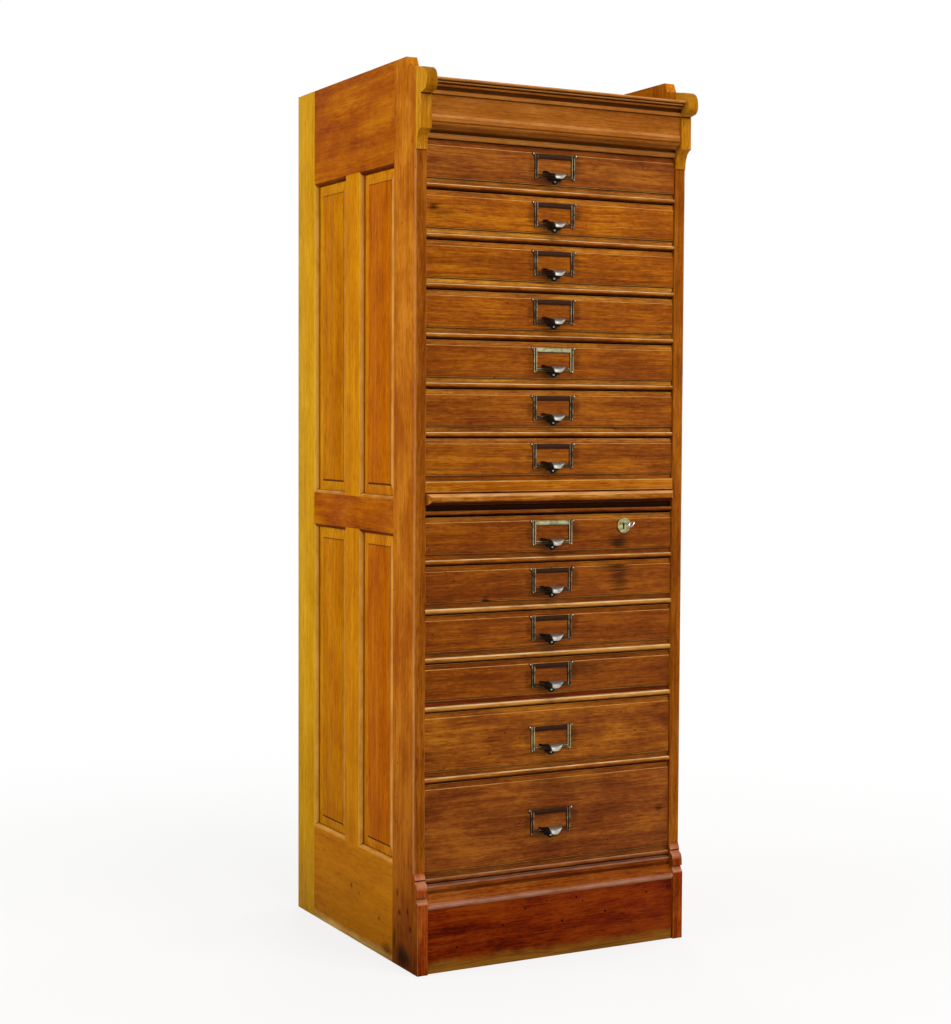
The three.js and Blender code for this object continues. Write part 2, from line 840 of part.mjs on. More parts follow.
// The key: a ring bow, a round shank and a flat bit inside the case
function keyGeometry() {
  const bitBack = lockCaseFront + lockCaseWall + lockChamberDepth - boltGap;
  const shankFront = -keyBowReach + keyBowRadius;
  const shank = new THREE.CylinderGeometry(
    keyShankRadius, keyShankRadius, bitBack - shankFront, shankSegments,
  );
  shank.translate(0, (bitBack + shankFront) / 2, 0);
  const bow = new THREE.TorusGeometry(keyBowRadius, keyBowWire, wireSegments, bowSegments);
  bow.rotateY(Math.PI / 2);
  bow.translate(0, -keyBowReach, 0);
  const bit = boxBetween(
    [-keyBitThickness / 2, bitBack - keyBitWidth, -keyBitLength],
    [keyBitThickness / 2, bitBack, 0],
  );
  const whole = solidFrom(shank).add(solidFrom(bow)).add(solidFrom(bit));
  return geometryFrom(whole);
}

function addLock(group, opening) {
  const place = (mesh) => mesh.position.set(lockAcross, 0, keyAxis(opening));
  place(addPiece(group, "escutcheon", escutcheonGeometry(), brass));
  place(addPiece(group, "lock_case", lockCaseGeometry(), steel));
  place(addPiece(group, "lock_bolt", boltGeometry(), steel));
  const key = addPiece(group, "key", keyGeometry(), steel);
  place(key);
  key.rotation.y = keyRestTurn;
}

// Writing slide: a flush board with a round nose and round front corners

function addSlide() {
  const half = clearHalf - drawerSideGap;
  const back = backFace - slideBackGap;
  const radius = slideThickness / 2;
  const profile = new THREE.Shape();
  profile.moveTo(back, 0);
  profile.lineTo(back, slideThickness);
  profile.lineTo(radius - slideReach, slideThickness);
  profile.absarc(radius - slideReach, radius, radius, Math.PI / 2, Math.PI * 3 / 2, false);
  profile.closePath();
  const corner = slideCornerRadius;
  const plan = new THREE.Shape();
  plan.moveTo(half, back + overrun);
  plan.lineTo(-half, back + overrun);
  plan.absarc(corner - half, corner - slideReach, corner, Math.PI, Math.PI * 3 / 2, false);
  plan.absarc(half - corner, corner - slideReach, corner, Math.PI * 3 / 2, Math.PI * 2, false);
  plan.closePath();
  const board = solidFrom(runAlongX(profile, -half - overrun, half + overrun, noseSegments));
  const trim = solidFrom(standUp(plan, -overrun, slideThickness + 2 * overrun));
  const slide = addPiece(chest, "writing_slide", geometryFrom(board.intersect(trim)), oak);
  slide.position.z = stack.slideFloor + runnerGap;
}

// Cornice and plinth moulding: shares of reach and height, from the foot up

const corniceShares = [
  [0, 0], [0.05, 0.03], [0.05, 0.08], [-0.1, 0.1], [-0.1, 0.13], [0.29, 0.14], [0.33, 0.18],
  [0.39, 0.2], [0.5, 0.22], [0.52, 0.24], [0.49, 0.3], [0.43, 0.41], [0.42, 0.52], [0.45, 0.66],
  [0.49, 0.71], [0.58, 0.73], [0.59, 0.79], [0.46, 0.81], [0.46, 0.85], [0.69, 0.86],
  [0.74, 0.89], [0.68, 0.905], [0.85, 0.915], [0.88, 0.935], [0.83, 0.95], [0.96, 0.955],
  [1, 0.975], [0.96, 1],
];
const plinthMouldingShares = [
  [0.86, 0], [1, 0.1], [0.98, 0.22], [0.84, 0.31], [0.5, 0.45], [0.33, 0.62], [0.31, 0.66],
  [0.14, 0.7], [0.1, 0.8], [0.16, 0.94], [0.1, 1],
];

function mouldingPoints(shares, reach, height) {
  return shares.map(([out, up]) => [-out * reach, up * height]);
}

function addMouldings() {
  const edge = clearHalf - jointGap;
  const cornice = shapeFrom([
    ...mouldingPoints(corniceShares, corniceReach, corniceHeight),
    [corniceBack, corniceHeight],
    [corniceBack, 0],
  ].reverse());
  const crown = addPiece(chest, "cornice", runAlongX(cornice, -edge, edge), oak);
  crown.position.z = stack.corniceFloor;
  const moulding = shapeFrom([
    ...mouldingPoints(plinthMouldingShares, plinthMouldingReach, plinthMouldingHeight - jointGap),
    [plinthQuirk, plinthMouldingHeight - jointGap],
    [plinthQuirk, plinthMouldingHeight + plinthQuirk - 2 * jointGap],
    [plinthMouldingBack, plinthMouldingHeight + plinthQuirk - 2 * jointGap],
    [plinthMouldingBack, 0],
  ].reverse());
  const cap = addPiece(chest, "plinth_moulding", runAlongX(moulding, -edge, edge), oak);
  cap.position.z = plinthHeight + jointGap;
  const board = boxBetween(
    [-edge, -plinthReach, 0],
    [edge, plinthThickness - plinthReach, plinthHeight],
  );
  addPiece(chest, "plinth_board", board, oak);
}

// The top board lies between the ends, with a tongue along each end of its lower half
function addTopAndBack() {
  const edge = clearHalf - jointGap;
  const reach = clearHalf + housingDepth;
  const front = corniceBack + jointGap;
  const back = backFace - jointGap;
  const board = solidFrom(boxBetween([-edge, front, 0], [edge, back, topThickness]));
  const tongues = solidFrom(boxBetween([-reach, front, 0], [reach, back, topTongueThickness]));
  const top = geometryFrom(board.add(tongues));
  addPiece(chest, "top_board", top, oak).position.z = topFloor;
  const half = clearHalf + backRabbet - jointGap;
  const panel = boxBetween([-half, backFace, backFoot], [half, caseDepth, corniceTop]);
  addPiece(chest, "back_panel", panel, paleWood);
}

addEnds();
addBoards();
addDrawers();
addSlide();
addMouldings();
addTopAndBack();
chest.position.y = (rollReach - caseDepth) / 2;

export default chest;
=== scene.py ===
import json
import math
import random

import bmesh
import bpy
from mathutils import Matrix, Vector

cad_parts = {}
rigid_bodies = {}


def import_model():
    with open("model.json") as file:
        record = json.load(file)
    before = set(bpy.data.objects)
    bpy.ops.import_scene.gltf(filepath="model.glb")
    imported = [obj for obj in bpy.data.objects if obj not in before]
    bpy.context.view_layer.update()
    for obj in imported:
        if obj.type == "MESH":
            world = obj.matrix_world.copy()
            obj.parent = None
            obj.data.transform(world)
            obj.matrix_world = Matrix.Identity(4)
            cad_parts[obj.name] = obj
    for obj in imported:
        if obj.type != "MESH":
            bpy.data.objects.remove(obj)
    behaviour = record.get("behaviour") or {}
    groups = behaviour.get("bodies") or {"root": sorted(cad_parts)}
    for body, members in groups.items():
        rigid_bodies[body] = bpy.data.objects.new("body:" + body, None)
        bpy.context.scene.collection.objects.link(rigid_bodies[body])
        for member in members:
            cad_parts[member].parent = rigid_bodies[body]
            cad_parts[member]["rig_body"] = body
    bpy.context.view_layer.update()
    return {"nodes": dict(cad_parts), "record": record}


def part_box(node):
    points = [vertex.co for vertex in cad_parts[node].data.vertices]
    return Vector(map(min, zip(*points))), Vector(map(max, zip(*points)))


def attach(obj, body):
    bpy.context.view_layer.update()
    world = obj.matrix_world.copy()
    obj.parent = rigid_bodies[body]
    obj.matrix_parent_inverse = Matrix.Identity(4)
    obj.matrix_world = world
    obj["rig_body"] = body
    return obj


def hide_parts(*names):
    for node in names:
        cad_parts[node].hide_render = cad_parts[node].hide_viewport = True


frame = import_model()

# The filing chest's finish: stained and shellacked oak, cast bronze pulls, a brass escutcheon and a key.
# X runs to the right seen from the front, Y to the back and Z up, in metres.

MM = 0.001

# Sizes of the joinery that the finish follows, in millimetres
ROLL_REACH = 37.6
FRONT_STILE = 78
BACK_STILE = 73
MUNTIN = 54
CASE_DEPTH = 475
BOTTOM_RAIL = 163
MIDDLE_RAIL_FOOT = 703
MIDDLE_RAIL = 55
TOP_RAIL_FOOT = 1298
STICKING = 5.5
PANEL_BEVEL = 19
PANEL_TONGUE = 6
BRACKET_FOOT = 1311.5
ROLL_FOOT = 1398.4
BASE_TOP = 162
FRONT_THICKNESS = 19
FOOT_STRIP = 7

# Places worked out from them, up from the foot and back from the posts' front
MIDDLE_RAIL_HEAD = MIDDLE_RAIL_FOOT + MIDDLE_RAIL
OPENINGS_BACK = CASE_DEPTH - BACK_STILE
MUNTIN_FRONT = (FRONT_STILE + OPENINGS_BACK - MUNTIN) / 2
MUNTIN_BACK = MUNTIN_FRONT + MUNTIN

# A face's middle counts as at a line that is this near, in millimetres
NEAR = 0.5

# How much of a face's normal lies along an axis, from a slight slant to dead flat
SLANT = 0.2
STEEP = 0.5
FLAT = 0.9
FLUSH = 0.97
DEAD_FLAT = 0.99

post_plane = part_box("left_end_frame")[0].y + ROLL_REACH * MM
end_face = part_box("right_end_frame")[1].x
chest_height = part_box("left_end_frame")[1].z


def linear(hex_colour):
    """An sRGB hex colour as linear light with full opacity."""
    values = [int(hex_colour[index:index + 2], 16) / 255 for index in (1, 3, 5)]
    lit = [value / 12.92 if value <= 0.04045 else ((value + 0.055) / 1.055) ** 2.4 for value in values]
    return (*lit, 1)


def node(tree, kind, inputs=None, stops=(), **settings):
    """Adds a shader node. inputs maps a socket's name or number to a value or to another socket, and
    stops are a colour ramp's (position, hex colour) pairs."""
    made = tree.nodes.new(kind)
    for name, value in settings.items():
        setattr(made, name, value)
    for socket, value in (inputs or {}).items():
        if isinstance(value, bpy.types.NodeSocket):
            tree.links.new(value, made.inputs[socket])
        else:
            made.inputs[socket].default_value = value
    for index, (position, colour) in enumerate(stops):
        bar = made.color_ramp.elements
        stop = bar[index] if index < len(bar) else bar.new(position)
        stop.position = position
        stop.color = linear(colour)
    return made


def new_material(name):
    """An empty node material and its tree."""
    made = bpy.data.materials.new(name)
    made.use_nodes = True
    made.node_tree.nodes.clear()
    return made, made.node_tree


def tint(tree, factor, base, colour, blend="MIX"):
    """base mixed with a colour, or multiplied by it, as much as the factor says."""
    mixed = node(tree, "ShaderNodeMix", {0: factor, 6: base, 7: colour}, data_type="RGBA", blend_type=blend)
    return mixed.outputs[2]


def sum_of(tree, *terms):
    """The weighted sum of (socket, weight) terms."""
    total = 0.0
    for socket, weight in terms:
        product = node(tree, "ShaderNodeMath", {0: socket, 1: weight, 2: total}, operation="MULTIPLY_ADD")
        total = product.outputs[0]
    return total


# Oak


def drawn_out(tree, source, along_mm, across_mm, detail=2.0, rough=0.5):
    """Uneven patches of a real size along the grain and across it, in millimetres."""
    scale = (1 / along_mm, 1 / across_mm, 1 / across_mm)
    place = node(tree, "ShaderNodeVectorMath", {0: source, 1: scale}, operation="MULTIPLY").outputs[0]
    return node(tree, "ShaderNodeTexNoise", {"Vector": place, "Scale": 1.0, "Detail": detail,
                "Roughness": rough}).outputs


def rubbing_and_highlight(tree, marked, up, patchy, wear, crest, crest_from):
    """How far the wood is made pale: where its arrises are marked rubbed or its lips marked with a painted
    highlight, and on a crested moulding where it faces up, rubbed and with a painted highlight.
    """
    rubbed = marked
    # Rounds that face up are made pale: rubbed, and a painted highlight
    if crest:
        upward = node(tree, "ShaderNodeMapRange", {"Value": up, "From Min": crest_from,
                      "From Max": crest_from + 0.25, "To Max": crest}).outputs["Result"]
        round_only = node(tree, "ShaderNodeMapRange", {"Value": up, "From Min": 0.98, "From Max": 0.995,
                          "To Min": 1.0, "To Max": 0.0}).outputs["Result"]
        upward = node(tree, "ShaderNodeMath", {0: upward, 1: round_only}, operation="MULTIPLY").outputs[0]
        rubbed = node(tree, "ShaderNodeMath", {0: rubbed, 1: upward}, operation="MAXIMUM").outputs[0]
    patches = node(tree, "ShaderNodeMapRange", {"Value": patchy, "From Min": 0.3, "From Max": 0.62,
                   "To Min": 0.35 * wear, "To Max": wear}).outputs["Result"]
    return node(tree, "ShaderNodeMath", {0: rubbed, 1: patches}, operation="MULTIPLY").outputs[0]


def soiling_and_shade(tree, marked, up, grime_and_shade, under_from):
    """How dark the wood is made: in the corners, painted shade that stands also for dirt and old polish;
    where the mark is below zero, painted shade, partly dirt; and on a crested moulding below the slope
    under_from, painted shade on its underside."""
    # Darker within 5 mm of a corner: painted shade, partly dirt and old polish
    corner = node(tree, "ShaderNodeAmbientOcclusion", {"Distance": 5 * MM}, samples=6, only_local=True)
    shade_and_grime = node(tree, "ShaderNodeMapRange", {"Value": corner.outputs["AO"], "From Min": 0.9,
                  "From Max": 0.35, "To Max": grime_and_shade}).outputs["Result"]
    dirt = node(tree, "ShaderNodeMath", {0: marked, 1: -1.0}, operation="MULTIPLY").outputs[0]
    shade_and_grime = node(tree, "ShaderNodeMath", {0: shade_and_grime, 1: dirt}, operation="MAXIMUM").outputs[0]
    # Faces that look down are darkened: painted shade
    if under_from is not None:
        downward = node(tree, "ShaderNodeMapRange", {"Value": up, "From Min": under_from,
                        "From Max": under_from - 0.65, "To Max": grime_and_shade}).outputs["Result"]
        shade_and_grime = node(tree, "ShaderNodeMath", {0: shade_and_grime, 1: downward}, operation="MAXIMUM").outputs[0]
    return shade_and_grime


def stained(tree, colour, grain, ragged, mark):
    """A dark stain with a ragged edge. mark is (along, across, half length, half width, strength), in
    millimetres on its board."""
    along, across, half_long, half_wide, strength = mark
    apart = node(tree, "ShaderNodeVectorMath", {0: grain, 1: (along, across, 0)}, operation="SUBTRACT")
    shares = node(tree, "ShaderNodeVectorMath", {0: apart.outputs[0], 1: (1 / half_long, 1 / half_wide, 0)},
                  operation="MULTIPLY").outputs[0]
    distance = node(tree, "ShaderNodeVectorMath", {0: shares}, operation="LENGTH").outputs["Value"]
    edge = node(tree, "ShaderNodeMath", {0: distance, 1: ragged}, operation="ADD").outputs[0]
    mask = node(tree, "ShaderNodeMapRange", {"Value": edge, "From Min": 2.15, "From Max": 1.35,
                "To Max": strength}, interpolation_type="SMOOTHSTEP").outputs["Result"]
    return tint(tree, mask, colour, linear("#2a0e03"), "MULTIPLY")


def dented(tree, colour, board, patchy, specks):
    """Small dents filled with dirt, about 14 mm apart and 1 to 3 mm wide."""
    cells = node(tree, "ShaderNodeTexVoronoi", {"Vector": board, "Scale": 1 / 14}).outputs
    chance = node(tree, "ShaderNodeSeparateColor", {0: cells["Color"]}).outputs[0]
    depth = sum_of(tree, (chance, 0.2 * specks), (cells["Distance"], -1.0), (patchy, 0.06))
    mask = node(tree, "ShaderNodeMapRange", {"Value": depth, "From Min": 0.07 * specks + 0.02,
                "From Max": 0.07 * specks + 0.06, "To Max": 0.9}).outputs["Result"]
    return tint(tree, mask, colour, linear("#2a1003"), "MULTIPLY")


def bleached_foot(tree, colour, height, patchy, fibres, streaks, band):
    """Along the floor the stain has gone and soot lies in the streaks. band is (height, hex colour)."""
    rise, bare = band
    lift = sum_of(tree, (height, 1.0), (patchy, rise * 1.6), (fibres, rise * 0.8))
    mask = node(tree, "ShaderNodeMapRange", {"Value": lift, "From Min": rise * 2.6,
                "From Max": rise * 1.6, "To Max": 0.9}).outputs["Result"]
    soot = node(tree, "ShaderNodeMapRange", {"Value": streaks, "From Min": 0.45, "From Max": 0.75})
    shade_and_grime = tint(tree, soot.outputs[0], linear(bare), linear("#4a2c08"))
    return tint(tree, mask, colour, shade_and_grime)


def oak(name, tones, fade=(), gloss=0.42, worn="#dfa85a", wear=0.75, grime_and_shade=0.85, crest=0.0,
        crest_from=0.35, under_from=0.05, under="#521a02", contrast=1.0, cloudy=1.0, marks=(), specks=0.0,
        foot_band=None, polish=0.06):
    """Oak, sawn and planed, stained and shellacked. The stain sits in the open pores, so that fine dark
    dashes follow the grain. The year rings show as soft bands and the arrises are rubbed pale. The corners
    are darker: painted shade, partly old polish and dirt. tones are its dark, middle and light hex colours,
    and worn is the pale colour of the rubbed arrises and of the painted highlights. crest is how far the
    rounds that face up are made pale, from the slope crest_from on: rubbed, and a painted highlight. Below
    the slope under_from they are darkened with the colour under: painted shade, partly dirt. cloudy is how
    far the stain took unevenly. marks are its stains, specks is how many small dents it has, and foot_band
    is the bleached band along the floor. polish is how much shellac is left to shine."""
    made, tree = new_material(name)
    grain = node(tree, "ShaderNodeAttribute", attribute_name="grain").outputs["Vector"]
    seed = node(tree, "ShaderNodeAttribute", attribute_name="seed").outputs["Fac"]
    # Each board is shifted far along, so that no two show the same figure
    shift = node(tree, "ShaderNodeVectorMath", {0: seed, 1: (731.0, 517.0, 293.0)}, operation="MULTIPLY")
    board = node(tree, "ShaderNodeVectorMath", {0: grain, 1: shift.outputs[0]}, operation="ADD").outputs[0]

    # The grain wanders up to 9 mm to either side
    wander = drawn_out(tree, board, 260, 60)["Color"]
    centred = node(tree, "ShaderNodeVectorMath", {0: wander, 1: (0.5, 0.5, 0.5)}, operation="SUBTRACT")
    swing = node(tree, "ShaderNodeVectorMath", {0: centred.outputs[0], 1: (0.0, 18.0, 18.0)},
                 operation="MULTIPLY")
    warped = node(tree, "ShaderNodeVectorMath", {0: board, 1: swing.outputs[0]}, operation="ADD").outputs[0]

    # Year rings, 3 to 5 mm apart, show as soft bands some 9 mm wide
    rings = drawn_out(tree, warped, 420, 9, 1.0, 0.4)["Fac"]
    streaks = drawn_out(tree, warped, 230, 3.4, 3.0, 0.65)["Fac"]
    # Fibre bundles are 0.2 mm wide. They are drawn 1.4 mm wide, the least that shows in the picture.
    fibres = drawn_out(tree, warped, 48, 1.4, 2.0, 0.7)["Fac"]
    # Ray flecks, some 10 mm long, take the stain unevenly
    flecks = drawn_out(tree, board, 12, 4, 3.0, 0.7)["Fac"]
    cloud = drawn_out(tree, board, 110, 46, 4.0, 0.6)["Fac"]
    layers = ((rings, 0.55), (streaks, 0.6), (fibres, 0.75), (flecks, 0.6), (cloud, cloudy))
    figure = sum_of(tree, *[(layer, weight * contrast) for layer, weight in layers])
    middle = 0.5 - contrast * sum(weight for _, weight in layers) / 2
    figure = node(tree, "ShaderNodeMath", {0: figure, 1: middle}, operation="ADD").outputs[0]
    stops = ((0.2, tones[0]), (0.5, tones[1]), (0.8, tones[2]))
    colour = node(tree, "ShaderNodeValToRGB", {"Fac": figure}, stops).outputs["Color"]

    # Pores are 0.3 mm wide. They are drawn 1.1 mm wide, with their dark stain.
    pores = drawn_out(tree, warped, 30, 1.1, 1.0, 0.5)["Fac"]
    pore_mask = node(tree, "ShaderNodeMapRange", {"Value": pores, "From Min": 0.57, "From Max": 0.72,
                     "To Max": 0.6 * contrast}).outputs["Result"]
    colour = tint(tree, pore_mask, colour, linear("#8c4f1c"), "MULTIPLY")

    # Darker towards the foot of the chest: painted shade near the floor, partly wood that has darkened
    # there
    place = node(tree, "ShaderNodeTexCoord").outputs["Object"]
    height = node(tree, "ShaderNodeSeparateXYZ", {0: place}).outputs["Z"]
    if fade:
        rise = node(tree, "ShaderNodeMath", {0: height, 1: chest_height}, operation="DIVIDE").outputs[0]
        shade = node(tree, "ShaderNodeValToRGB", {"Fac": rise}, fade).outputs["Color"]
        colour = tint(tree, 1.0, colour, shade, "MULTIPLY")

    marked = node(tree, "ShaderNodeAttribute", attribute_name="wear").outputs["Fac"]
    normal = node(tree, "ShaderNodeNewGeometry").outputs["Normal"]
    up = node(tree, "ShaderNodeSeparateXYZ", {0: normal}).outputs["Z"]
    patchy = drawn_out(tree, board, 40, 18, 3.0, 0.6)["Fac"]
    rubbed = rubbing_and_highlight(tree, marked, up, patchy, wear, crest, crest_from)
    colour = tint(tree, rubbed, colour, linear(worn))
    # Corners, marked lines and undersides are darkened: painted shade, partly dirt
    shade_and_grime = soiling_and_shade(tree, marked, up, grime_and_shade, under_from if crest else None)
    colour = tint(tree, shade_and_grime, colour, linear(under), "MULTIPLY")

    ragged = sum_of(tree, (patchy, 0.7), (streaks, 1.1), (fibres, 0.5))
    for mark in marks:
        colour = stained(tree, colour, grain, ragged, mark)
    if specks:
        colour = dented(tree, colour, board, patchy, specks)
    if foot_band:
        colour = bleached_foot(tree, colour, height, patchy, fibres, streaks, foot_band)

    rough = node(tree, "ShaderNodeMapRange", {"Value": streaks, "From Min": 0.3, "From Max": 0.7,
                 "To Min": gloss - 0.07, "To Max": gloss + 0.1}).outputs["Result"]
    relief = sum_of(tree, (fibres, 0.4), (pores, -0.5), (streaks, 0.4))
    bump = node(tree, "ShaderNodeBump", {"Strength": 0.4, "Distance": 0.25 * MM, "Height": relief})
    shader = node(tree, "ShaderNodeBsdfPrincipled", {"Base Color": colour, "Roughness": rough, "IOR": 1.5,
                  "Specular IOR Level": polish, "Specular Tint": linear("#ffc27a"),
                  "Normal": bump.outputs["Normal"]})
    node(tree, "ShaderNodeOutputMaterial", {"Surface": shader.outputs[0]})
    return made


# Metals


def cast_bronze(name, skin, bare, dirt, bareness):
    """Bronze, sand cast and lacquered brown, now oxidised nearly black. The high ribs and edges are rubbed
    to a dull, pale metal and dirt fills the channels. bareness says how much of the skin has gone."""
    made, tree = new_material(name)
    place = node(tree, "ShaderNodeTexCoord").outputs["Object"]
    rubbed = node(tree, "ShaderNodeAttribute", attribute_name="wear").outputs["Fac"]
    blotch = node(tree, "ShaderNodeTexNoise", {"Vector": place, "Scale": 1 / (9 * MM), "Detail": 4.0,
                  "Roughness": 0.6}).outputs["Fac"]
    # The sand's grain is 0.2 mm. It is drawn 0.8 mm wide, the least that shows in the picture.
    grit = node(tree, "ShaderNodeTexNoise", {"Vector": place, "Scale": 1 / (0.8 * MM), "Detail": 2.0})
    worn = sum_of(tree, (rubbed, 0.75), (blotch, 0.9))
    mask = node(tree, "ShaderNodeMapRange", {"Value": worn, "From Min": 1.05 - bareness,
                "From Max": 1.3 - bareness}).outputs["Result"]
    colour = tint(tree, mask, linear(skin), linear(bare))
    corner = node(tree, "ShaderNodeAmbientOcclusion", {"Distance": 3 * MM}, samples=6)
    shut = node(tree, "ShaderNodeMapRange", {"Value": corner.outputs["AO"], "From Min": 0.75,
                "From Max": 0.25}).outputs["Result"]
    colour = tint(tree, shut, colour, linear(dirt))
    rough = node(tree, "ShaderNodeMapRange", {"Value": mask, "To Min": 0.5, "To Max": 0.42})
    bump = node(tree, "ShaderNodeBump", {"Strength": 0.25, "Distance": 0.1 * MM,
                "Height": grit.outputs["Fac"]})
    shader = node(tree, "ShaderNodeBsdfPrincipled", {"Base Color": colour, "Metallic": 0.9,
                  "Roughness": rough.outputs[0], "Normal": bump.outputs["Normal"]})
    node(tree, "ShaderNodeOutputMaterial", {"Surface": shader.outputs[0]})
    return made


def dulled_metal(name, colour, tarnish, gloss):
    """Brass, nickel or iron with a smooth skin, gone dull in patches of 5 mm from damp and handling."""
    made, tree = new_material(name)
    place = node(tree, "ShaderNodeTexCoord").outputs["Object"]
    blotch = node(tree, "ShaderNodeTexNoise", {"Vector": place, "Scale": 1 / (5 * MM), "Detail": 5.0,
                  "Roughness": 0.65}).outputs["Fac"]
    dull = node(tree, "ShaderNodeMapRange", {"Value": blotch, "From Min": 0.42, "From Max": 0.65})
    shade = tint(tree, dull.outputs[0], linear(colour), linear(tarnish))
    corner = node(tree, "ShaderNodeAmbientOcclusion", {"Distance": 1.5 * MM}, samples=6)
    shut = node(tree, "ShaderNodeMapRange", {"Value": corner.outputs["AO"], "From Min": 0.7,
                "From Max": 0.3, "To Max": 0.8}).outputs["Result"]
    shade = tint(tree, shut, shade, linear("#2b2113"))
    rough = node(tree, "ShaderNodeMapRange", {"Value": blotch, "To Min": gloss, "To Max": gloss + 0.2})
    shader = node(tree, "ShaderNodeBsdfPrincipled", {"Base Color": shade, "Metallic": 1.0,
                  "Roughness": rough.outputs[0]})
    node(tree, "ShaderNodeOutputMaterial", {"Surface": shader.outputs[0]})
    return made


# Boards

# Lengths in millimetres and angles in degrees
WELD = 0.02
FLAT_WITHIN = 0.5
SHORTEST_ARRIS = 12
LEAST_TURN = 25
SHARP_FROM = 32


class Board:
    """One board of a glued-up piece: its wood, how it lies and where its own grain starts.
    lie names the axes along the grain, across it and through the board."""

    def __init__(self, wood, lie, origin, seed):
        self.wood = wood
        self.axes = ["xyz".index(letter) for letter in lie]
        self.origin = Vector(origin)
        self.seed = seed

    def grain_at(self, place):
        """A place on the board, in millimetres along its grain, across it and through it."""
        offset = (place - self.origin) / MM
        return Vector([offset[axis] for axis in self.axes])


def solid_of(name):
    """A CAD node as an editable solid, with its triangles joined into whole faces."""
    data = frame["nodes"][name].data
    shape = bmesh.new()
    corners = [shape.verts.new(vertex.co) for vertex in data.vertices]
    for polygon in data.polygons:
        shape.faces.new([corners[index] for index in polygon.vertices])
    bmesh.ops.remove_doubles(shape, verts=shape.verts, dist=WELD * MM)
    bmesh.ops.dissolve_limit(shape, angle_limit=math.radians(FLAT_WITHIN), verts=shape.verts,
                             edges=shape.edges)
    bmesh.ops.recalc_face_normals(shape, faces=shape.faces)
    return shape


def saw_marks(shape, cuts):
    """Splits the faces along planes, given as (axis letter, place in metres)."""
    for letter, place in cuts:
        normal = Vector([float(axis == letter) for axis in "xyz"])
        geometry = shape.verts[:] + shape.edges[:] + shape.faces[:]
        bmesh.ops.bisect_plane(shape, geom=geometry, dist=1e-6, plane_co=normal * place, plane_no=normal)


def ease_arrises(shape, radius, chosen=None):
    """Rounds the long outside edges, or the chosen ones among them, and marks the rounds as worn."""
    wear = shape.loops.layers.float.get("wear") or shape.loops.layers.float.new("wear")
    edges = []
    for edge in shape.edges:
        if len(edge.link_faces) != 2 or not edge.is_convex or edge.calc_length() < SHORTEST_ARRIS * MM:
            continue
        if math.degrees(edge.calc_face_angle(0)) > LEAST_TURN and (chosen is None or chosen(edge)):
            edges.append(edge)
    made = bmesh.ops.bevel(shape, geom=edges, offset=radius, offset_type="OFFSET", segments=2,
                           profile=0.5, affect="EDGES", clamp_overlap=True)
    for face in made["faces"]:
        for loop in face.loops:
            loop[wear] = 1.0


def lay_boards(shape, boards):
    """Writes each face's grain coordinates, seed and wood from the board that its number names."""
    number = shape.faces.layers.int["board"]
    grain = shape.loops.layers.float_vector.new("grain")
    seed = shape.loops.layers.float.new("seed")
    woods = []
    for face in shape.faces:
        board = boards[face[number]]
        if board.wood not in woods:
            woods.append(board.wood)
        face.material_index = woods.index(board.wood)
        face.smooth = True
        for loop in face.loops:
            loop[grain] = board.grain_at(loop.vert.co)
            loop[seed] = board.seed
    return woods


def finished(name, shape, materials, body, replaced=()):
    """The shape as an object that rides on its body and stands for the CAD nodes that it replaces."""
    mesh = bpy.data.meshes.new(name)
    shape.to_mesh(mesh)
    shape.free()
    for material in materials:
        mesh.materials.append(material)
    mesh.set_sharp_from_angle(angle=math.radians(SHARP_FROM))
    made = bpy.data.objects.new(name, mesh)
    bpy.context.scene.collection.objects.link(made)
    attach(made, body)
    if replaced:
        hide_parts(*replaced)


def slot_of(name):
    """The record's material slot of a CAD node."""
    for part in frame["record"]["subparts"]:
        if part["node"] == name:
            return part["material_slot"]
    return None


def dressed(name, member_of, boards, cuts=(), easing=0.7, chosen=None, rubbed=None):
    """A CAD node cut into its boards, with worn arrises and its grain laid. boards are named, member_of
    gives a face's board by name, easing is the arrises' radius in millimetres, and rubbed gives how pale a
    face is made, rubbed or with a painted highlight, or below zero how dark: painted shade, partly dirt."""
    names = list(boards)
    shape = solid_of(name)
    saw_marks(shape, cuts)
    number = shape.faces.layers.int.new("board")
    wear = shape.loops.layers.float.new("wear")
    for face in shape.faces:
        face[number] = names.index(member_of(face))
        for loop in face.loops:
            loop[wear] = rubbed(face) if rubbed else 0
    if easing:
        ease_arrises(shape, easing * MM, chosen=chosen)
    woods = lay_boards(shape, list(boards.values()))
    finished(f"{name}_oak", shape, woods, frame["nodes"][name]["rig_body"], (name,))


# Ends

# Colour kept at each height, from the foot up: darker towards the foot, partly painted shade near the floor
END_FADE = ((0.0, "#d0d0d0"), (0.1, "#e6e6e6"), (0.3, "#f6f6f6"), (0.8, "#ffffff"))
FRONT_FADE = ((0.0, "#8c7c6c"), (0.1, "#c8bcac"), (0.3, "#f0ece8"), (0.8, "#ffffff"))
CREAM = "#e2ac58"
END_POLISH = 0.008
ROLL_POLISH = 0.03

# How deep the post's own face, its rubbed arris and the moulding's painted shade reach, in millimetres
POST_CUT = 0.6
ARRIS_SIDE = 5
ARRIS_FRONT = 2
STICKING_SHADE = 6.6
COVE_DROP = 3

# Paleness of the frame's edges, by how they lie: rubbed, and on slopes and crests that face up or to the
# front also a painted highlight. Below zero they are darkened: painted shade in the quirk and on faces that
# look down, partly dirt.
POST_WEAR = 0.4
CREST_WEAR_AND_HIGHLIGHT = 1.0
SLOPE_WEAR_AND_HIGHLIGHT = 0.45
SIDE_WEAR = 0.05
QUIRK_SHADE = -0.4
DOWNWARD_SHADE = -0.75

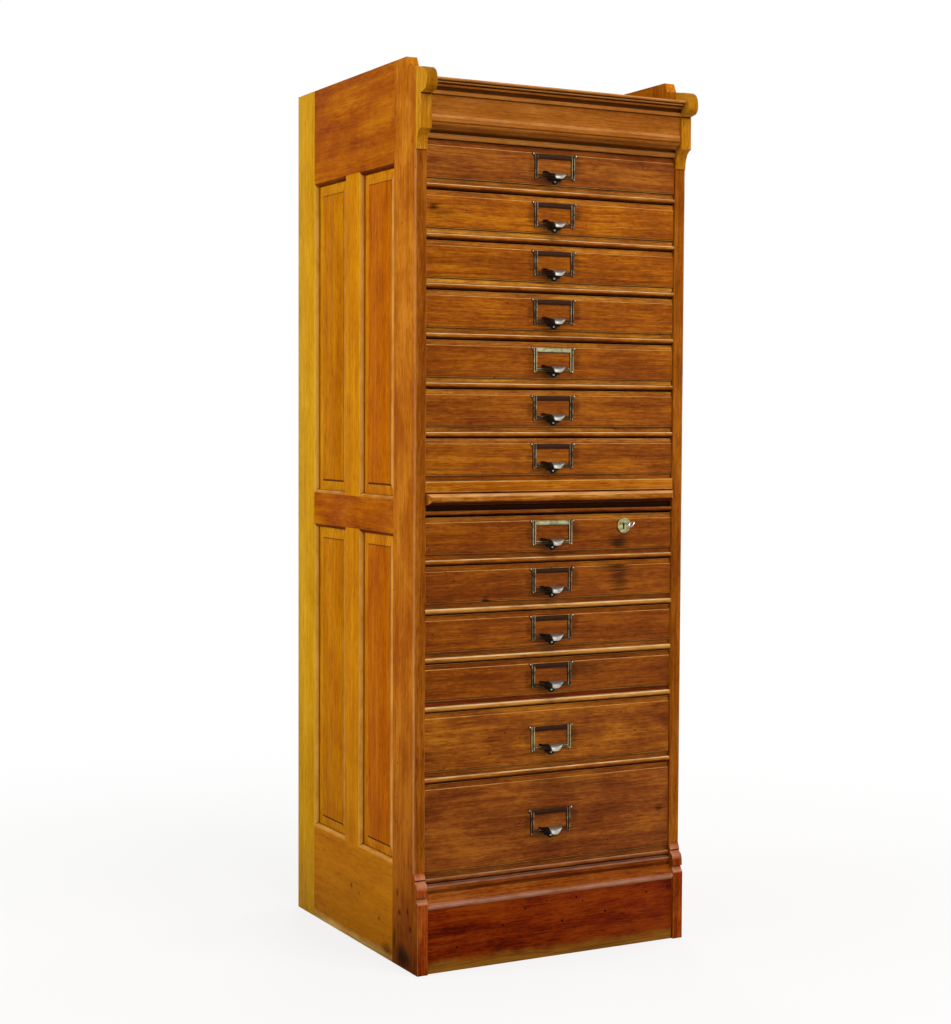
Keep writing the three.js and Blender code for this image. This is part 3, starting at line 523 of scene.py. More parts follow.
# A panel's bevel slopes more than BEVEL_SLOPE and its field less than FIELD_FLAT lets through
BEVEL_SLOPE = 0.08
FIELD_FLAT = 0.9995
BEVEL_STRIP = 13
FIELD_SHADOW = 3.4
# How dark the panel's lines are made: painted shade in the groove, a painted shadow below the field and a
# darker line above it
GROOVE_SHADE = -0.9
FOOT_LINE_SHADOW = -0.85
HEAD_LINE_DARKENING = -0.7


def end_wood(name, tones, fade=END_FADE, **finish):
    """Oak of an end, golden and nearly matt, with pale arrises."""
    return oak(name, tones, fade, **{"worn": CREAM, "polish": END_POLISH, **finish})


# Each member of an end was cut from a board of its own, so that each took the stain in its own tone. The
# back stile and the muntins are yellow, the rails red, and water has blackened the front stile's foot.
wood_back_stile = end_wood("stile_oak_back", ("#ab7504", "#c48d08", "#d8a522"), contrast=0.7)
FRONT_STILE_STAINS = ((16, 40, 26, 38, 0.85), (88, 52, 8, 6, 0.9), (96, 22, 6, 5, 0.9),
                      (70, 12, 8, 6, 0.8), (120, 60, 10, 5, 0.6), (40, 70, 30, 8, 0.6))
wood_front_stile = end_wood("stile_oak_front", ("#984c06", "#b0640c", "#c67c1c"), FRONT_FADE, specks=1.0,
                            worn="#d0946a", cloudy=1.5, marks=FRONT_STILE_STAINS)
wood_muntin = end_wood("muntin_oak", ("#a66002", "#bf7802", "#d08c0a"), contrast=0.8)
wood_rail = end_wood("rail_oak", ("#843804", "#a05202", "#b86c08"), contrast=0.7, cloudy=2.0)
BOTTOM_RAIL_STAINS = ((98, 14, 30, 18, 0.55), (240, 92, 6, 6, 0.7), (210, 84, 5, 4, 0.6),
                      (130, 60, 6, 5, 0.6))
wood_bottom_rail = end_wood("bottom_rail_oak", ("#a45e04", "#b87006", "#c67e0c"), specks=0.9,
                            contrast=0.8, foot_band=(11 * MM, "#b89450"), marks=BOTTOM_RAIL_STAINS)
wood_front_panel = end_wood("panel_oak_front", ("#984804", "#b05c02", "#c07006"))
wood_back_panel = end_wood("panel_oak_back", ("#a05802", "#b26a02", "#c27e06"))
wood_front_bevel = end_wood("bevel_oak_front", ("#a85c04", "#be720a", "#ce8816"))
wood_back_bevel = end_wood("bevel_oak_back", ("#a86402", "#bc7a08", "#cc8e14"))
wood_bracket = end_wood("bracket_oak", ("#8e5606", "#ac6c0c", "#c0862c"), (), polish=ROLL_POLISH)
wood_roll = end_wood("roll_oak", ("#7a4803", "#945c06", "#aa7218"), (), polish=ROLL_POLISH)
wood_bracket_side = end_wood("bracket_side_oak", ("#a8680a", "#c08216", "#d0982c"), contrast=0.8)
wood_post = oak("post_oak", ("#6c3204", "#884608", "#a25e16"), worn="#d09a58", specks=0.4)
# The base block's rounds are pale where they face up, rubbed and with a painted highlight, and darkened
# where they face down: painted shade
wood_base = oak("base_oak", ("#5e1a02", "#883406", "#a4541e"), worn="#cc8c68", crest=0.9,
                crest_from=0.15, specks=0.6)

# The panels' field and bevel, and how far the bevel that faces the front is lightened beside the field:
# a painted highlight
PANEL_FINISH = {
    "front": (wood_front_panel, wood_front_bevel, 0.7),
    "back": (wood_back_panel, wood_back_bevel, 0.3),
}

# The openings of an end: (near edge, far edge, member before it, member after it)
OPENING_ROWS = ((BOTTOM_RAIL, MIDDLE_RAIL_FOOT, "bottom_rail", "middle_rail"),
                (MIDDLE_RAIL_HEAD, TOP_RAIL_FOOT, "middle_rail", "top_rail"))
OPENING_COLUMNS = ((FRONT_STILE, MUNTIN_FRONT, "front_stile", "muntin"),
                   (MUNTIN_BACK, OPENINGS_BACK, "muntin", "back_stile"))


def end_boards(side):
    """The boards of an end, by name."""
    seed = 1.0 if side < 0 else 9.0
    outside = (side * end_face, post_plane, 0)
    return {
        "front_stile": Board(wood_front_stile, "zyx", outside, seed),
        "back_stile": Board(wood_back_stile if side < 0 else wood_muntin, "zyx", outside, seed + 1),
        "muntin": Board(wood_muntin, "zyx", outside, seed + 2),
        "top_rail": Board(wood_rail, "yzx", outside, seed + 3),
        "middle_rail": Board(wood_rail, "yzx", outside, seed + 4),
        "bottom_rail": Board(wood_bottom_rail, "yzx", outside, seed + 5),
        "bracket": Board(wood_bracket, "zyx", outside, seed + 6),
        "roll": Board(wood_roll, "zyx", outside, seed + 6),
        "bracket_side": Board(wood_bracket_side, "zyx", outside, seed + 6),
        "post": Board(wood_post, "zxy", outside, seed + 7),
        "base": Board(wood_base, "zyx", outside, seed + 8),
    }


def edge_member(level):
    """The front edge's piece at a height in millimetres: its roll, bracket, plain post or base block."""
    if level > BRACKET_FOOT - COVE_DROP:
        return "roll" if level > ROLL_FOOT - NEAR else "bracket"
    return "base" if level < BASE_TOP + 2 * NEAR else "post"


def moulding_member(depth, level, normal):
    """The stile, muntin or rail that carries a face of an opening's moulding, or None."""
    reach = STICKING + 2 * NEAR
    for foot, head, low_rail, high_rail in OPENING_ROWS:
        for near, far, before, after in OPENING_COLUMNS:
            if not (foot <= level <= head and near <= depth <= far):
                continue
            if abs(normal.y) > abs(normal.z):
                return before if depth - near < reach else after
            if abs(normal.x) < DEAD_FLAT:
                return low_rail if level - foot < reach else high_rail
    return None


def member_at(depth, level, normal):
    """The end's member at a place, in millimetres behind the posts' front and above the foot."""
    if depth < POST_CUT and abs(normal.x) < FLAT:
        return edge_member(level)
    if depth < POST_CUT and level > BRACKET_FOOT:
        return "bracket_side"
    moulded = moulding_member(depth, level, normal)
    if moulded:
        return moulded
    if depth < FRONT_STILE:
        return "front_stile"
    if depth > OPENINGS_BACK:
        return "back_stile"
    if level < BOTTOM_RAIL:
        return "bottom_rail"
    if level > TOP_RAIL_FOOT:
        return "top_rail"
    return "middle_rail" if MIDDLE_RAIL_FOOT < level < MIDDLE_RAIL_HEAD else "muntin"


def make_end(word, side):
    """One end's frame, cut into its stiles, rails and muntins."""
    levels = (BOTTOM_RAIL, MIDDLE_RAIL_FOOT, MIDDLE_RAIL_HEAD, TOP_RAIL_FOOT, BASE_TOP, BRACKET_FOOT)
    depths = (POST_CUT, FRONT_STILE, MUNTIN_FRONT, MUNTIN_BACK, OPENINGS_BACK, ARRIS_SIDE)
    shade_plane = end_face - STICKING_SHADE * MM
    arris_plane = end_face - ARRIS_FRONT * MM
    cuts = [("z", level * MM) for level in levels]
    cuts += [("y", post_plane + depth * MM) for depth in depths]
    cuts += [("x", side * shade_plane), ("x", side * arris_plane)]

    def member_of(face):
        place = face.calc_center_median()
        return member_at((place.y - post_plane) / MM, place.z / MM, face.normal)

    def edge_wear_and_shade(face):
        """The moulded edges that face the front or up are pale: rubbed, and a painted highlight. Those that
        face down are darkened with painted shade, as is the quirk between the moulding and the panel,
        partly dirt. The posts' outer arrises are rubbed too."""
        place = face.calc_center_median()
        depth = (place.y - post_plane) / MM
        if depth < ARRIS_SIDE and BASE_TOP * MM < place.z < BRACKET_FOOT * MM:
            on_front = face.normal.y < -FLUSH and abs(place.x) > arris_plane
            return POST_WEAR if on_front or face.normal.x * side > FLUSH else 0
        if depth < FRONT_STILE or depth > OPENINGS_BACK or abs(face.normal.x) > FLUSH:
            return 0
        if face.normal.z < -SLANT:
            return DOWNWARD_SHADE
        if abs(place.x) < shade_plane:
            return QUIRK_SHADE
        slope = max(-face.normal.y, face.normal.z)
        if slope < SLANT:
            return SIDE_WEAR
        return CREST_WEAR_AND_HIGHLIGHT if slope > STEEP else SLOPE_WEAR_AND_HIGHLIGHT

    def outer(edge):
        """Edges of the outline and of the openings on the outer face."""
        return min(vertex.co.x * side for vertex in edge.verts) > end_face - NEAR * MM

    dressed(f"{word}_end_frame", member_of, end_boards(side), cuts, easing=0.8, chosen=outer,
            rubbed=edge_wear_and_shade)


def make_panel(word, side, row, column):
    """One raised panel: its field and its bevels."""
    name = f"{word}_panel_{row}_{column}"
    low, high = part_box(name)
    wood, bevel_wood, strip_highlight = PANEL_FINISH[column]
    origin = (side * end_face, (low.y + high.y) / 2, 0)
    seed = 21 + 10 * (side > 0) + 4 * (column == "back") + (row == "lower")
    boards = {"field": Board(wood, "zyx", origin, seed), "bevel": Board(bevel_wood, "zyx", origin, seed)}
    margin = (PANEL_BEVEL + PANEL_TONGUE) * MM
    strip = low.y + margin - BEVEL_STRIP * MM
    shadow_foot = low.z + margin - FIELD_SHADOW * MM
    shadow_head = high.z - margin + FIELD_SHADOW / 2 * MM

    def member_of(face):
        """The bevels that don't face the front are lighter than the field."""
        sloping = STEEP < face.normal.x * side < FIELD_FLAT
        return "bevel" if sloping and face.normal.y > -BEVEL_SLOPE else "field"

    def bevel_highlight_and_shade(face):
        """Beside the field, the bevel that faces the front is lightened: a painted highlight. Below the
        field the
        bevel is darkened: a painted shadow cast by the field. Above the field it is darkened too, and the
        faces
        in the groove are darkened: painted shade."""
        outward = face.normal.x * side
        middle = face.calc_center_median()
        if outward < STEEP:
            return GROOVE_SHADE if abs(face.normal.z) > STEEP else 0
        if outward > FIELD_FLAT:
            return 0
        if face.normal.y < -BEVEL_SLOPE:
            return strip_highlight if middle.y > strip else 0
        if face.normal.z < -BEVEL_SLOPE and middle.z > shadow_foot:
            return FOOT_LINE_SHADOW
        if face.normal.z > BEVEL_SLOPE and middle.z < shadow_head:
            return HEAD_LINE_DARKENING
        return 0

    def upright(edge):
        """The field's two upright arrises."""
        return abs(edge.verts[0].co.y - edge.verts[1].co.y) < NEAR * MM

    cuts = [("y", strip), ("z", shadow_foot), ("z", shadow_head)]
    dressed(name, member_of, boards, cuts, easing=0.3, chosen=upright, rubbed=bevel_highlight_and_shade)


for word, side in (("left", -1), ("right", 1)):
    make_end(word, side)
    for column in PANEL_FINISH:
        for row in ("upper", "lower"):
            make_panel(word, side, row, column)

# Boards of the case. The beads and mouldings are pale on their crests, rubbed and with a painted
# highlight, and darkened beneath: painted shade, partly dirt. The plinth, which was stained darkest, has
# lost its stain along the floor. The back and the insides are bare oak.

wood_bead = oak("bead_oak", ("#642804", "#94500c", "#b4762c"), worn="#e2b67c", wear=1.0, crest=1.0,
                crest_from=0.5, contrast=0.9)
wood_low_bead = oak("low_bead_oak", ("#7a3c08", "#ac7028", "#c88c42"), worn="#e6be86", wear=1.0, crest=1.0,
                    crest_from=0.4, under_from=-0.2, contrast=0.9)
wood_foot_bead = oak("foot_bead_oak", ("#4c1c04", "#74380c", "#94561c"), worn="#a87858", wear=1.0,
                     crest=1.0, crest_from=0.5, contrast=0.9)
wood_waist = oak("waist_oak", ("#8a4402", "#a25a0c", "#bc7820"), worn="#e0a85c")
# Beneath the slide's nose the bearer is darkest: painted shadow, partly dirt
wood_bearer = oak("bearer_oak", ("#561802", "#7c3808", "#985c20"), worn="#b87838", crest=0.5,
                  under="#3c0c00", grime_and_shade=1.0)
wood_cornice = oak("cornice_oak", ("#7c400a", "#945418", "#aa6a28"), worn="#d09a5c", contrast=0.8)
wood_top = oak("top_oak", ("#74421a", "#8c5828", "#a2703c"), worn="#c08c54", gloss=0.6)
wood_plinth_cap = oak("plinth_cap_oak", ("#642202", "#84400c", "#9c5620"), worn="#bc907c", wear=1.0)
wood_plinth = oak("plinth_oak", ("#420602", "#6c1e02", "#823404"), worn="#b07038", specks=1.5,
                  cloudy=1.4, foot_band=(16 * MM, "#94641e"))
wood_slide = oak("slide_oak", ("#6a3004", "#9a5610", "#bc8438"), worn="#dca468", crest=1.0,
                 under_from=0.0, under="#5c1400", grime_and_shade=0.95)
wood_raw = oak("raw_oak", ("#86602e", "#9c7640", "#b08c54"), gloss=0.7, contrast=0.8)
wood_back = oak("back_oak", ("#745026", "#8e6836", "#a27e4a"), gloss=0.75, specks=0.8)
wood_back_dark = oak("back_oak_dark", ("#664420", "#7e5a30", "#937040"), gloss=0.75, specks=0.8)

# Pale lips and dark recesses of the mouldings, from the foot up: (from, to, paleness) in shares of the
# height, dark below zero. The pale lips are painted highlights, partly rubbed, and the dark recesses
# painted shade, partly dirt
CORNICE_BANDS = ((0, 0.09, 0.2), (0.09, 0.205, -0.42), (0.215, 0.245, -0.15), (0.245, 0.27, -0.7),
                 (0.335, 0.385, 0.5), (0.7, 0.735, -0.7), (0.735, 0.8, 0.15), (0.8, 0.865, -0.65),
                 (0.865, 0.9, -0.1), (0.9, 0.916, -0.6), (0.916, 0.945, 0.4), (0.945, 0.956, -0.4),
                 (0.956, 0.98, 0.2), (0.98, 1, 0.6))
CORNICE_CUTS = (0.27, 0.335, 0.385)
PLINTH_CAP_BANDS = ((0, 0.17, 0.6), (0.17, 0.24, 0.3), (0.43, 0.48, 0.3), (0.61, 0.72, -0.6),
                    (0.82, 0.91, 0.3), (0.91, 1, 0.55))
PLINTH_CAP_CUTS = (0.17, 0.24)
# The cove beneath the writing slide is darkened: painted shadow of the slide, partly stain
BEARER_BANDS = ((0.46, 0.99, -1.0),)

# The waist board takes the place of the seventh dust board. The beads of the ninth to eleventh are
# palest and that of the thirteenth darkest.
DUST_BOARDS = [*range(1, 7), *range(8, 14)]
BEAD_WOODS = {9: wood_low_bead, 10: wood_low_bead, 11: wood_low_bead, 13: wood_foot_bead}
LEAST_SEED, MOST_SEED = 40, 90


def one_board(name, wood, lie, easing=0.0, bands=(), cut_shares=()):
    """A piece that is a single board, with bands up its height made pale or dark: painted highlights and
    painted shade, partly rubbed and dirty.
    """
    low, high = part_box(name)
    rise = high.z - low.z
    origin = ((low.x + high.x) / 2, low.y, (low.z + high.z) / 2)
    board = Board(wood, lie, origin, random.uniform(LEAST_SEED, MOST_SEED))

    def rubbed(face):
        share = (face.calc_center_median().z - low.z) / rise
        for start, stop, amount in bands:
            if start <= share <= stop:
                return amount
        return 0

    cuts = [("z", low.z + share * rise) for share in cut_shares]
    dressed(name, lambda face: "whole", {"whole": board}, cuts, easing, rubbed=rubbed)


random.seed(11)
for number in DUST_BOARDS:
    one_board(f"dust_board_{number:02d}", BEAD_WOODS.get(number, wood_bead), "xzy")
one_board("slide_bearer_board", wood_bearer, "xzy", easing=0.4, bands=BEARER_BANDS)
one_board("waist_board", wood_waist, "xzy", easing=0.6)
one_board("cornice", wood_cornice, "xzy", bands=CORNICE_BANDS, cut_shares=CORNICE_CUTS)
one_board("plinth_moulding", wood_plinth_cap, "xzy", bands=PLINTH_CAP_BANDS, cut_shares=PLINTH_CAP_CUTS)
one_board("plinth_board", wood_plinth, "xzy", easing=1.2)
one_board("top_board", wood_top, "xyz", easing=0.8)
one_board("writing_slide", wood_slide, "xyz")

# Back: upright boards with eased edges, nailed into the rabbets, the top and the lowest board

BACK_BOARDS = 4
BACK_JOINT = 1.0
BACK_EASING = 1.0
NAIL_RADIUS = 3.2
NAIL_RISE = 0.6
NAIL_INSET = 12
NAIL_SPOKES = 12
# The nails' places across a board, in shares of its width
NAIL_SHARES = (0.2, 0.8)
# A nail's head from its rim to its crown, in shares of its radius and its rise
NAIL_HEAD_SHARES = ((1.0, -0.2), (1.0, 0.35), (0.7, 0.8), (0.1, 1.0))
# Iron, forged and left bare, so that it has rusted to a dull brown
nail_iron = dulled_metal("nail_iron", "#5a4a3c", "#2e241c", 0.55)


def lofted(shape, rows, material=0, smooth=True):
    """A closed skin over rings of points, each ring as long as the next, with a cap at each end."""
    grid = [[shape.verts.new(point) for point in row] for row in rows]
    made = [shape.faces.new(grid[0][::-1]), shape.faces.new(grid[-1])]
    for here, there in zip(grid, grid[1:]):
        for step in range(len(here)):
            following = (step + 1) % len(here)
            made.append(shape.faces.new((here[step], here[following], there[following], there[step])))
    for face in made:
        face.material_index = material
        face.smooth = smooth


def box_in(shape, low, high):
    """A box between two corners, as new faces of the shape."""
    made = bmesh.ops.create_cube(shape, size=1)
    for vertex in made["verts"]:
        for axis in range(3):
            vertex.co[axis] = low[axis] if vertex.co[axis] < 0 else high[axis]
    return {face for vertex in made["verts"] for face in vertex.link_faces}


def nail_head(shape, x, y, z):
    """A low round nail head on the back."""
    turns = [math.tau * spoke / NAIL_SPOKES for spoke in range(NAIL_SPOKES)]
    rings = []
    for reach, rise in NAIL_HEAD_SHARES:
        radius = NAIL_RADIUS * MM * reach
        rings.append([(x + radius * math.cos(turn), y + NAIL_RISE * MM * rise, z + radius * math.sin(turn))
                      for turn in turns])
    lofted(shape, rings, smooth=False)


def make_back():
    """The back's boards and their nails."""
    low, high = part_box("back_panel")
    width = (high.x - low.x) / BACK_BOARDS
    gap = BACK_JOINT / 2 * MM
    shape = bmesh.new()
    number = shape.faces.layers.int.new("board")
    boards = []
    for index in range(BACK_BOARDS):
        left = low.x + index * width + (gap if index else 0)
        right = low.x + (index + 1) * width - (gap if index < BACK_BOARDS - 1 else 0)
        for face in box_in(shape, (left, low.y, low.z), (right, high.y, high.z)):
            face[number] = index
        wood = wood_back_dark if index % 2 else wood_back
        boards.append(Board(wood, "zxy", (left, low.y, low.z), random.uniform(LEAST_SEED, MOST_SEED)))
    ease_arrises(shape, BACK_EASING * MM)
    bmesh.ops.recalc_face_normals(shape, faces=shape.faces)
    woods = lay_boards(shape, boards)
    finished("back_panel_boards", shape, woods, "carcass", ("back_panel",))
    nails = bmesh.new()
    for index in range(BACK_BOARDS):
        for share in NAIL_SHARES:
            x = low.x + (index + share) * width
            for z in (low.z + NAIL_INSET * MM, (low.z + high.z) / 2, high.z - NAIL_INSET * MM):
                nail_head(nails, x, high.y - NAIL_RISE * MM, z)
    bmesh.ops.recalc_face_normals(nails, faces=nails.faces)
    finished("back_nails", nails, [nail_iron], "carcass")


make_back()

# Drawers: each was made from boards of its own. These are the middle tones of their faces and of the
# strips above and below their fields, from the top drawer down.

DRAWER_TONES = ("#7e4012", "#904a0a", "#8a4608", "#88440a", "#803e0a", "#82410c", "#87450c", "#793909",
                "#76370a", "#78390a", "#75370a", "#864610", "#763910")
# The top drawer's head strip is the darkest: painted shade beneath the cornice
HEAD_TONES = ("#74350e", "#a05a18", "#9c5616", "#a05f20", "#9c5a1c", "#a05c1c", "#a86226", "#8a4a16",
              "#86440e", "#7c3c0c", "#70360c", "#8a4812", "#7c3c10")
FOOT_TONES = ("#90501a", "#a86820", "#b06e22", "#985610", "#a0601c", "#94541a", "#843f0a", "#743408",
              "#74380c", "#7c3e10", "#622006", "#7e4010", "#7a3c10")
# How far the dark and light tones lie from the middle, and how much faster green and blue change than red
FACE_SPREAD = 0.28
STRIP_SPREAD = 0.25
GOLDEN = 1.6
# Each board's own seed is its drawer's number times one of these
FACE_SEED, SIDE_SEED, BOTTOM_SEED = 1.7, 2.3, 3.1

# Sizes round a drawer's front, in millimetres
PULL_WIDTH = 76
PULL_HEIGHT = 39
PULL_EAR_RISE = 1.5
STRIP_SINKING = 2.5
STRIP_WITHIN = 0.4
FOOT_GAP = 0.5
FOOT_QUIRK = 1
DARK_BAND_HEIGHT = 2.4
QUIRK_SLACK = 0.2
BOTTOM_LEVEL = 20
EASED_DEPTH = 8
# How dark the field's foot is made: painted shade in the quirk, and a darker band on the field just
# above it
FIELD_LINE_DARKENING = -0.45
FIELD_QUIRK_SHADE = -0.9

# Stains, from the middle of the pull: fingers have darkened the wood round each pull, and some fronts have
# a knot or a water mark of their own
PULL_STAINS = ((-20, -22, 34, 12, 0.55), (42, 2, 14, 24, 0.45), (-43, -2, 10, 20, 0.4), (0, 22, 36, 6, 0.4))
DRAWER_STAINS = {
    2: ((-221, 2, 14, 8, 0.85), (-205, -6, 30, 12, 0.4)),
    8: ((128, -20, 30, 16, 0.85),),
    9: ((118, 24, 56, 22, 0.85), (130, 0, 30, 40, 0.6), (-124, -30, 11, 8, 1.0), (-112, -34, 18, 6, 1.0)),
    11: ((60, 10, 70, 12, 0.4),),
    13: ((214, 0, 12, 8, 0.7), (30, 60, 90, 20, 0.3)),
}


def around(middle, spread):
    """Dark, middle and light tones round a hex colour. Dark oak is redder and light oak more golden."""
    values = [int(middle[index:index + 2], 16) for index in (1, 3, 5)]
    tones = []
    for gain in (1 - spread, 1, 1 + spread):
        gains = (gain, gain ** GOLDEN, gain ** GOLDEN)
        mixed = [min(255, round(value * by)) for value, by in zip(values, gains)]
        tones.append("#" + "".join(f"{value:02x}" for value in mixed))
    return tones


def pull_centre(number):
    """The middle of a drawer's label holder on the drawer's face."""
    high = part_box(f"pull_{number:02d}")[1]
    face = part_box(f"drawer_{number:02d}")[0].y
    return Vector((0, face, high.z - PULL_EAR_RISE * MM - PULL_HEIGHT / 2 * MM))


def drawer_boards(number):
    """The boards of a drawer, by name. The two deep drawers at the foot took the stain most unevenly."""
    tones = around(DRAWER_TONES[number - 1], FACE_SPREAD)
    face = oak(f"drawer_oak_{number:02d}", tones, marks=PULL_STAINS + DRAWER_STAINS.get(number, ()),
               specks=0.9, contrast=0.9, cloudy=1.5 if number > 11 else 0.8, gloss=0.36, polish=0.1)
    head = oak(f"head_strip_oak_{number:02d}", around(HEAD_TONES[number - 1], STRIP_SPREAD))
    foot = oak(f"foot_strip_oak_{number:02d}", around(FOOT_TONES[number - 1], STRIP_SPREAD))
    centre = pull_centre(number)
    return {
        "face": Board(face, "xzy", centre, number * FACE_SEED),
        "side": Board(wood_raw, "yzx", centre, number * SIDE_SEED),
        "bottom": Board(wood_raw, "xyz", centre, number * BOTTOM_SEED),
        "head_strip": Board(head, "xzy", centre, number * FACE_SEED),
        "foot_strip": Board(foot, "xzy", centre, number * FACE_SEED),
        "inside": Board(wood_raw, "xzy", centre, number * FACE_SEED),
    }


def make_drawer(number):
    """A drawer: its moulded front and the plain box behind it."""
    name = f"drawer_{number:02d}"
    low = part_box(name)[0]
    middle = pull_centre(number).z
    front_back = low.y + FRONT_THICKNESS * MM
    strip_face = low.y + STRIP_SINKING * MM
    field_foot = low.z + (FOOT_GAP + FOOT_STRIP + FOOT_QUIRK) * MM
    dark_band_head = field_foot + DARK_BAND_HEIGHT * MM

    def member_of(face):
        place = face.calc_center_median()
        if face.normal.y < -FLAT and abs(place.y - strip_face) < STRIP_WITHIN * MM:
            return "head_strip" if place.z > middle else "foot_strip"
        if place.y < front_back + NEAR * MM:
            return "inside" if face.normal.y > STEEP else "face"
        level = abs(face.normal.z) > STEEP
        return "bottom" if level and place.z < low.z + BOTTOM_LEVEL * MM else "side"

    def rubbed(face):
        """The quirk at the foot of the field is darkened: painted shade. The band of the field just above
        it is darkened too.
        """
        place = face.calc_center_median()
        above_foot = (place.z - field_foot) / MM
        if face.normal.y < -FLAT and -QUIRK_SLACK < above_foot and place.z < dark_band_head:
            return FIELD_LINE_DARKENING
        in_quirk = -FOOT_QUIRK - QUIRK_SLACK < above_foot < 0
        return FIELD_QUIRK_SHADE if in_quirk and face.normal.y < FLAT and place.y < front_back else 0

    def front_arris(edge):
        """The long edges of the front."""
        return max(vertex.co.y for vertex in edge.verts) < low.y + EASED_DEPTH * MM

    cuts = [("y", front_back), ("z", dark_band_head)]
    dressed(name, member_of, drawer_boards(number), cuts, easing=0.5, chosen=front_arris, rubbed=rubbed)


for number in range(1, 14):
    make_drawer(number)

# Pulls: sizes in millimetres, across and up from the middle of the label frame and out from the wood

WINDOW_HALF = 31
BAR_LAP = 0.4
PLATE_BACK = 0.3
PLATE_FRONT = 1.8
PLATE_EDGE = 0.35
HEAD_SINKING = 0.5
DOME_STEPS = 5
DOME_SPOKES = 20
# The crown's flat, as a share of a dome's radius
CROWN_SHARE = 0.02
HOOD_HALF = 23
HOOD_LEVEL = -10.6
HOOD_REACH = 15.2
HOOD_DROP = 10.2
HOOD_RISE = 1.8
HOOD_WALL = 1.2
HOOD_LAP = 0.8
HOOD_BELL = 1.2
HOOD_ROUNDING = 0.62
HOOD_STEPS = 36
SECTION_STEPS = 12
# Keeps the hood's slope from vanishing at its ends
LEAST_SLOPE = 0.01
TAB_FRONT = PLATE_FRONT - 0.4
EAR_FRONT = PLATE_FRONT - 0.2
TAB_HALF = 17
TAB_COVE = 6.5
TAB_ROUND = 6.6
TAB_ROUND_LEVEL = -22.6
TAB_LAP = 1
# Where the bronze begins to be bare and how soon it is wholly so: out from the wood, and across the
# hood, whose bare top is also a painted highlight
RIB_BARE_FROM, RIB_BARE_OVER = 1.4, 0.7
HOOD_BARE_AND_LIT_FROM, HOOD_BARE_AND_LIT_OVER = -11, 6
# The hood's faces that look up more than this are its top. Only the top is made pale; the underside
# keeps its near-black skin: painted shade
HOOD_TOP = 0.05
# Sections of the frame's bars, from the outer edge in: (depth, how far out)
RIBBED_BAR = ((0, 0.3), (0, 1.2), (0.4, 1.9), (1.2, 2.3), (2.0, 2.0), (2.6, 1.1), (3.4, 0.85), (4.2, 1.1),
              (4.8, 2.1), (5.6, 2.6), (6.4, 2.3), (6.9, 1.4), (7, 0.3))
PLAIN_BAR = ((0, 0.3), (0, 1.4), (0.5, 1.9), (1.4, 2.1), (4, 2.2), (6.6, 2.1), (7.5, 1.8), (8, 1.2),
             (8, 0.3))
FOOT_BAR = ((0, 0.3), (0, 1.1), (0.5, 1.6), (1.3, 1.8), (2.1, 1.5), (3, 1.0), (3.9, 1.2), (4.7, 2.0),
            (5.4, 1.9), (5.9, 1.2), (6, 0.3))
EAR = ((37.4, 8.5), (38.6, 13.5), (40.6, 16.6), (42.2, 18.2), (42.4, 20.2), (41, 21), (36.5, 20.2))
# The pull's finishes, by number
BRONZE, PIN, HEAD_BAR, HOOD = range(4)
# Round heads: (across, up, how far out they stand, radius, rise, finish)
EAR_PIN = (40, 18.8, PLATE_FRONT - 0.3, 1.5, 0.9, PIN)
FOOT_STUD = (36, -PULL_HEIGHT / 2 - 0.2, PLATE_FRONT - 0.7, 1.9, 1.2, BRONZE)
TAB_SCREW = (0, -24.6, PLATE_FRONT - 0.5, 1.9, 1.1, PIN)


def dome(shape, across, up, base, radius, rise, material):
    """A low round head standing on a face."""
    turns = [math.tau * spoke / DOME_SPOKES for spoke in range(DOME_SPOKES)]
    rows = []
    for step in range(DOME_STEPS + 1):
        bend = math.pi / 2 * step / DOME_STEPS
        reach = radius * max(math.cos(bend), CROWN_SHARE)
        rows.append([(across + reach * math.cos(turn), -(base + rise * math.sin(bend)),
                      up + reach * math.sin(turn)) for turn in turns])
    foot = [(x, -(base - HEAD_SINKING), z) for x, _, z in rows[0]]
    lofted(shape, [foot] + rows, material)


def plate(shape, outline, top, material):
    """A flat plate with an eased edge, from an outline of (across, up) points."""
    middle = Vector((sum(x for x, _ in outline), sum(z for _, z in outline))) / len(outline)
    inner = []
    for x, z in outline:
        point = Vector((x, z))
        inner.append(point + (middle - point).normalized() * PLATE_EDGE)
    rows = [
        [(x, -PLATE_BACK, z) for x, z in outline],
        [(x, -(top - PLATE_EDGE), z) for x, z in outline],
        [(point.x, -top, point.y) for point in inner],
    ]
    lofted(shape, rows, material)


def holder_frame(shape):
    """The label frame: side bars with a rib along each edge and a channel between, a plain top bar and a
    ribbed foot."""
    half_width = PULL_WIDTH / 2
    half_height = PULL_HEIGHT / 2
    for side in (-1, 1):
        lofted(shape, [[(side * (half_width - depth), -out, level) for depth, out in RIBBED_BAR]
                       for level in (-half_height, half_height)])
    spans = (-WINDOW_HALF - BAR_LAP, WINDOW_HALF + BAR_LAP)
    lofted(shape, [[(across, -out, half_height - depth) for depth, out in PLAIN_BAR] for across in spans],
           HEAD_BAR)
    lofted(shape, [[(across, -out, -half_height + depth) for depth, out in FOOT_BAR] for across in spans])


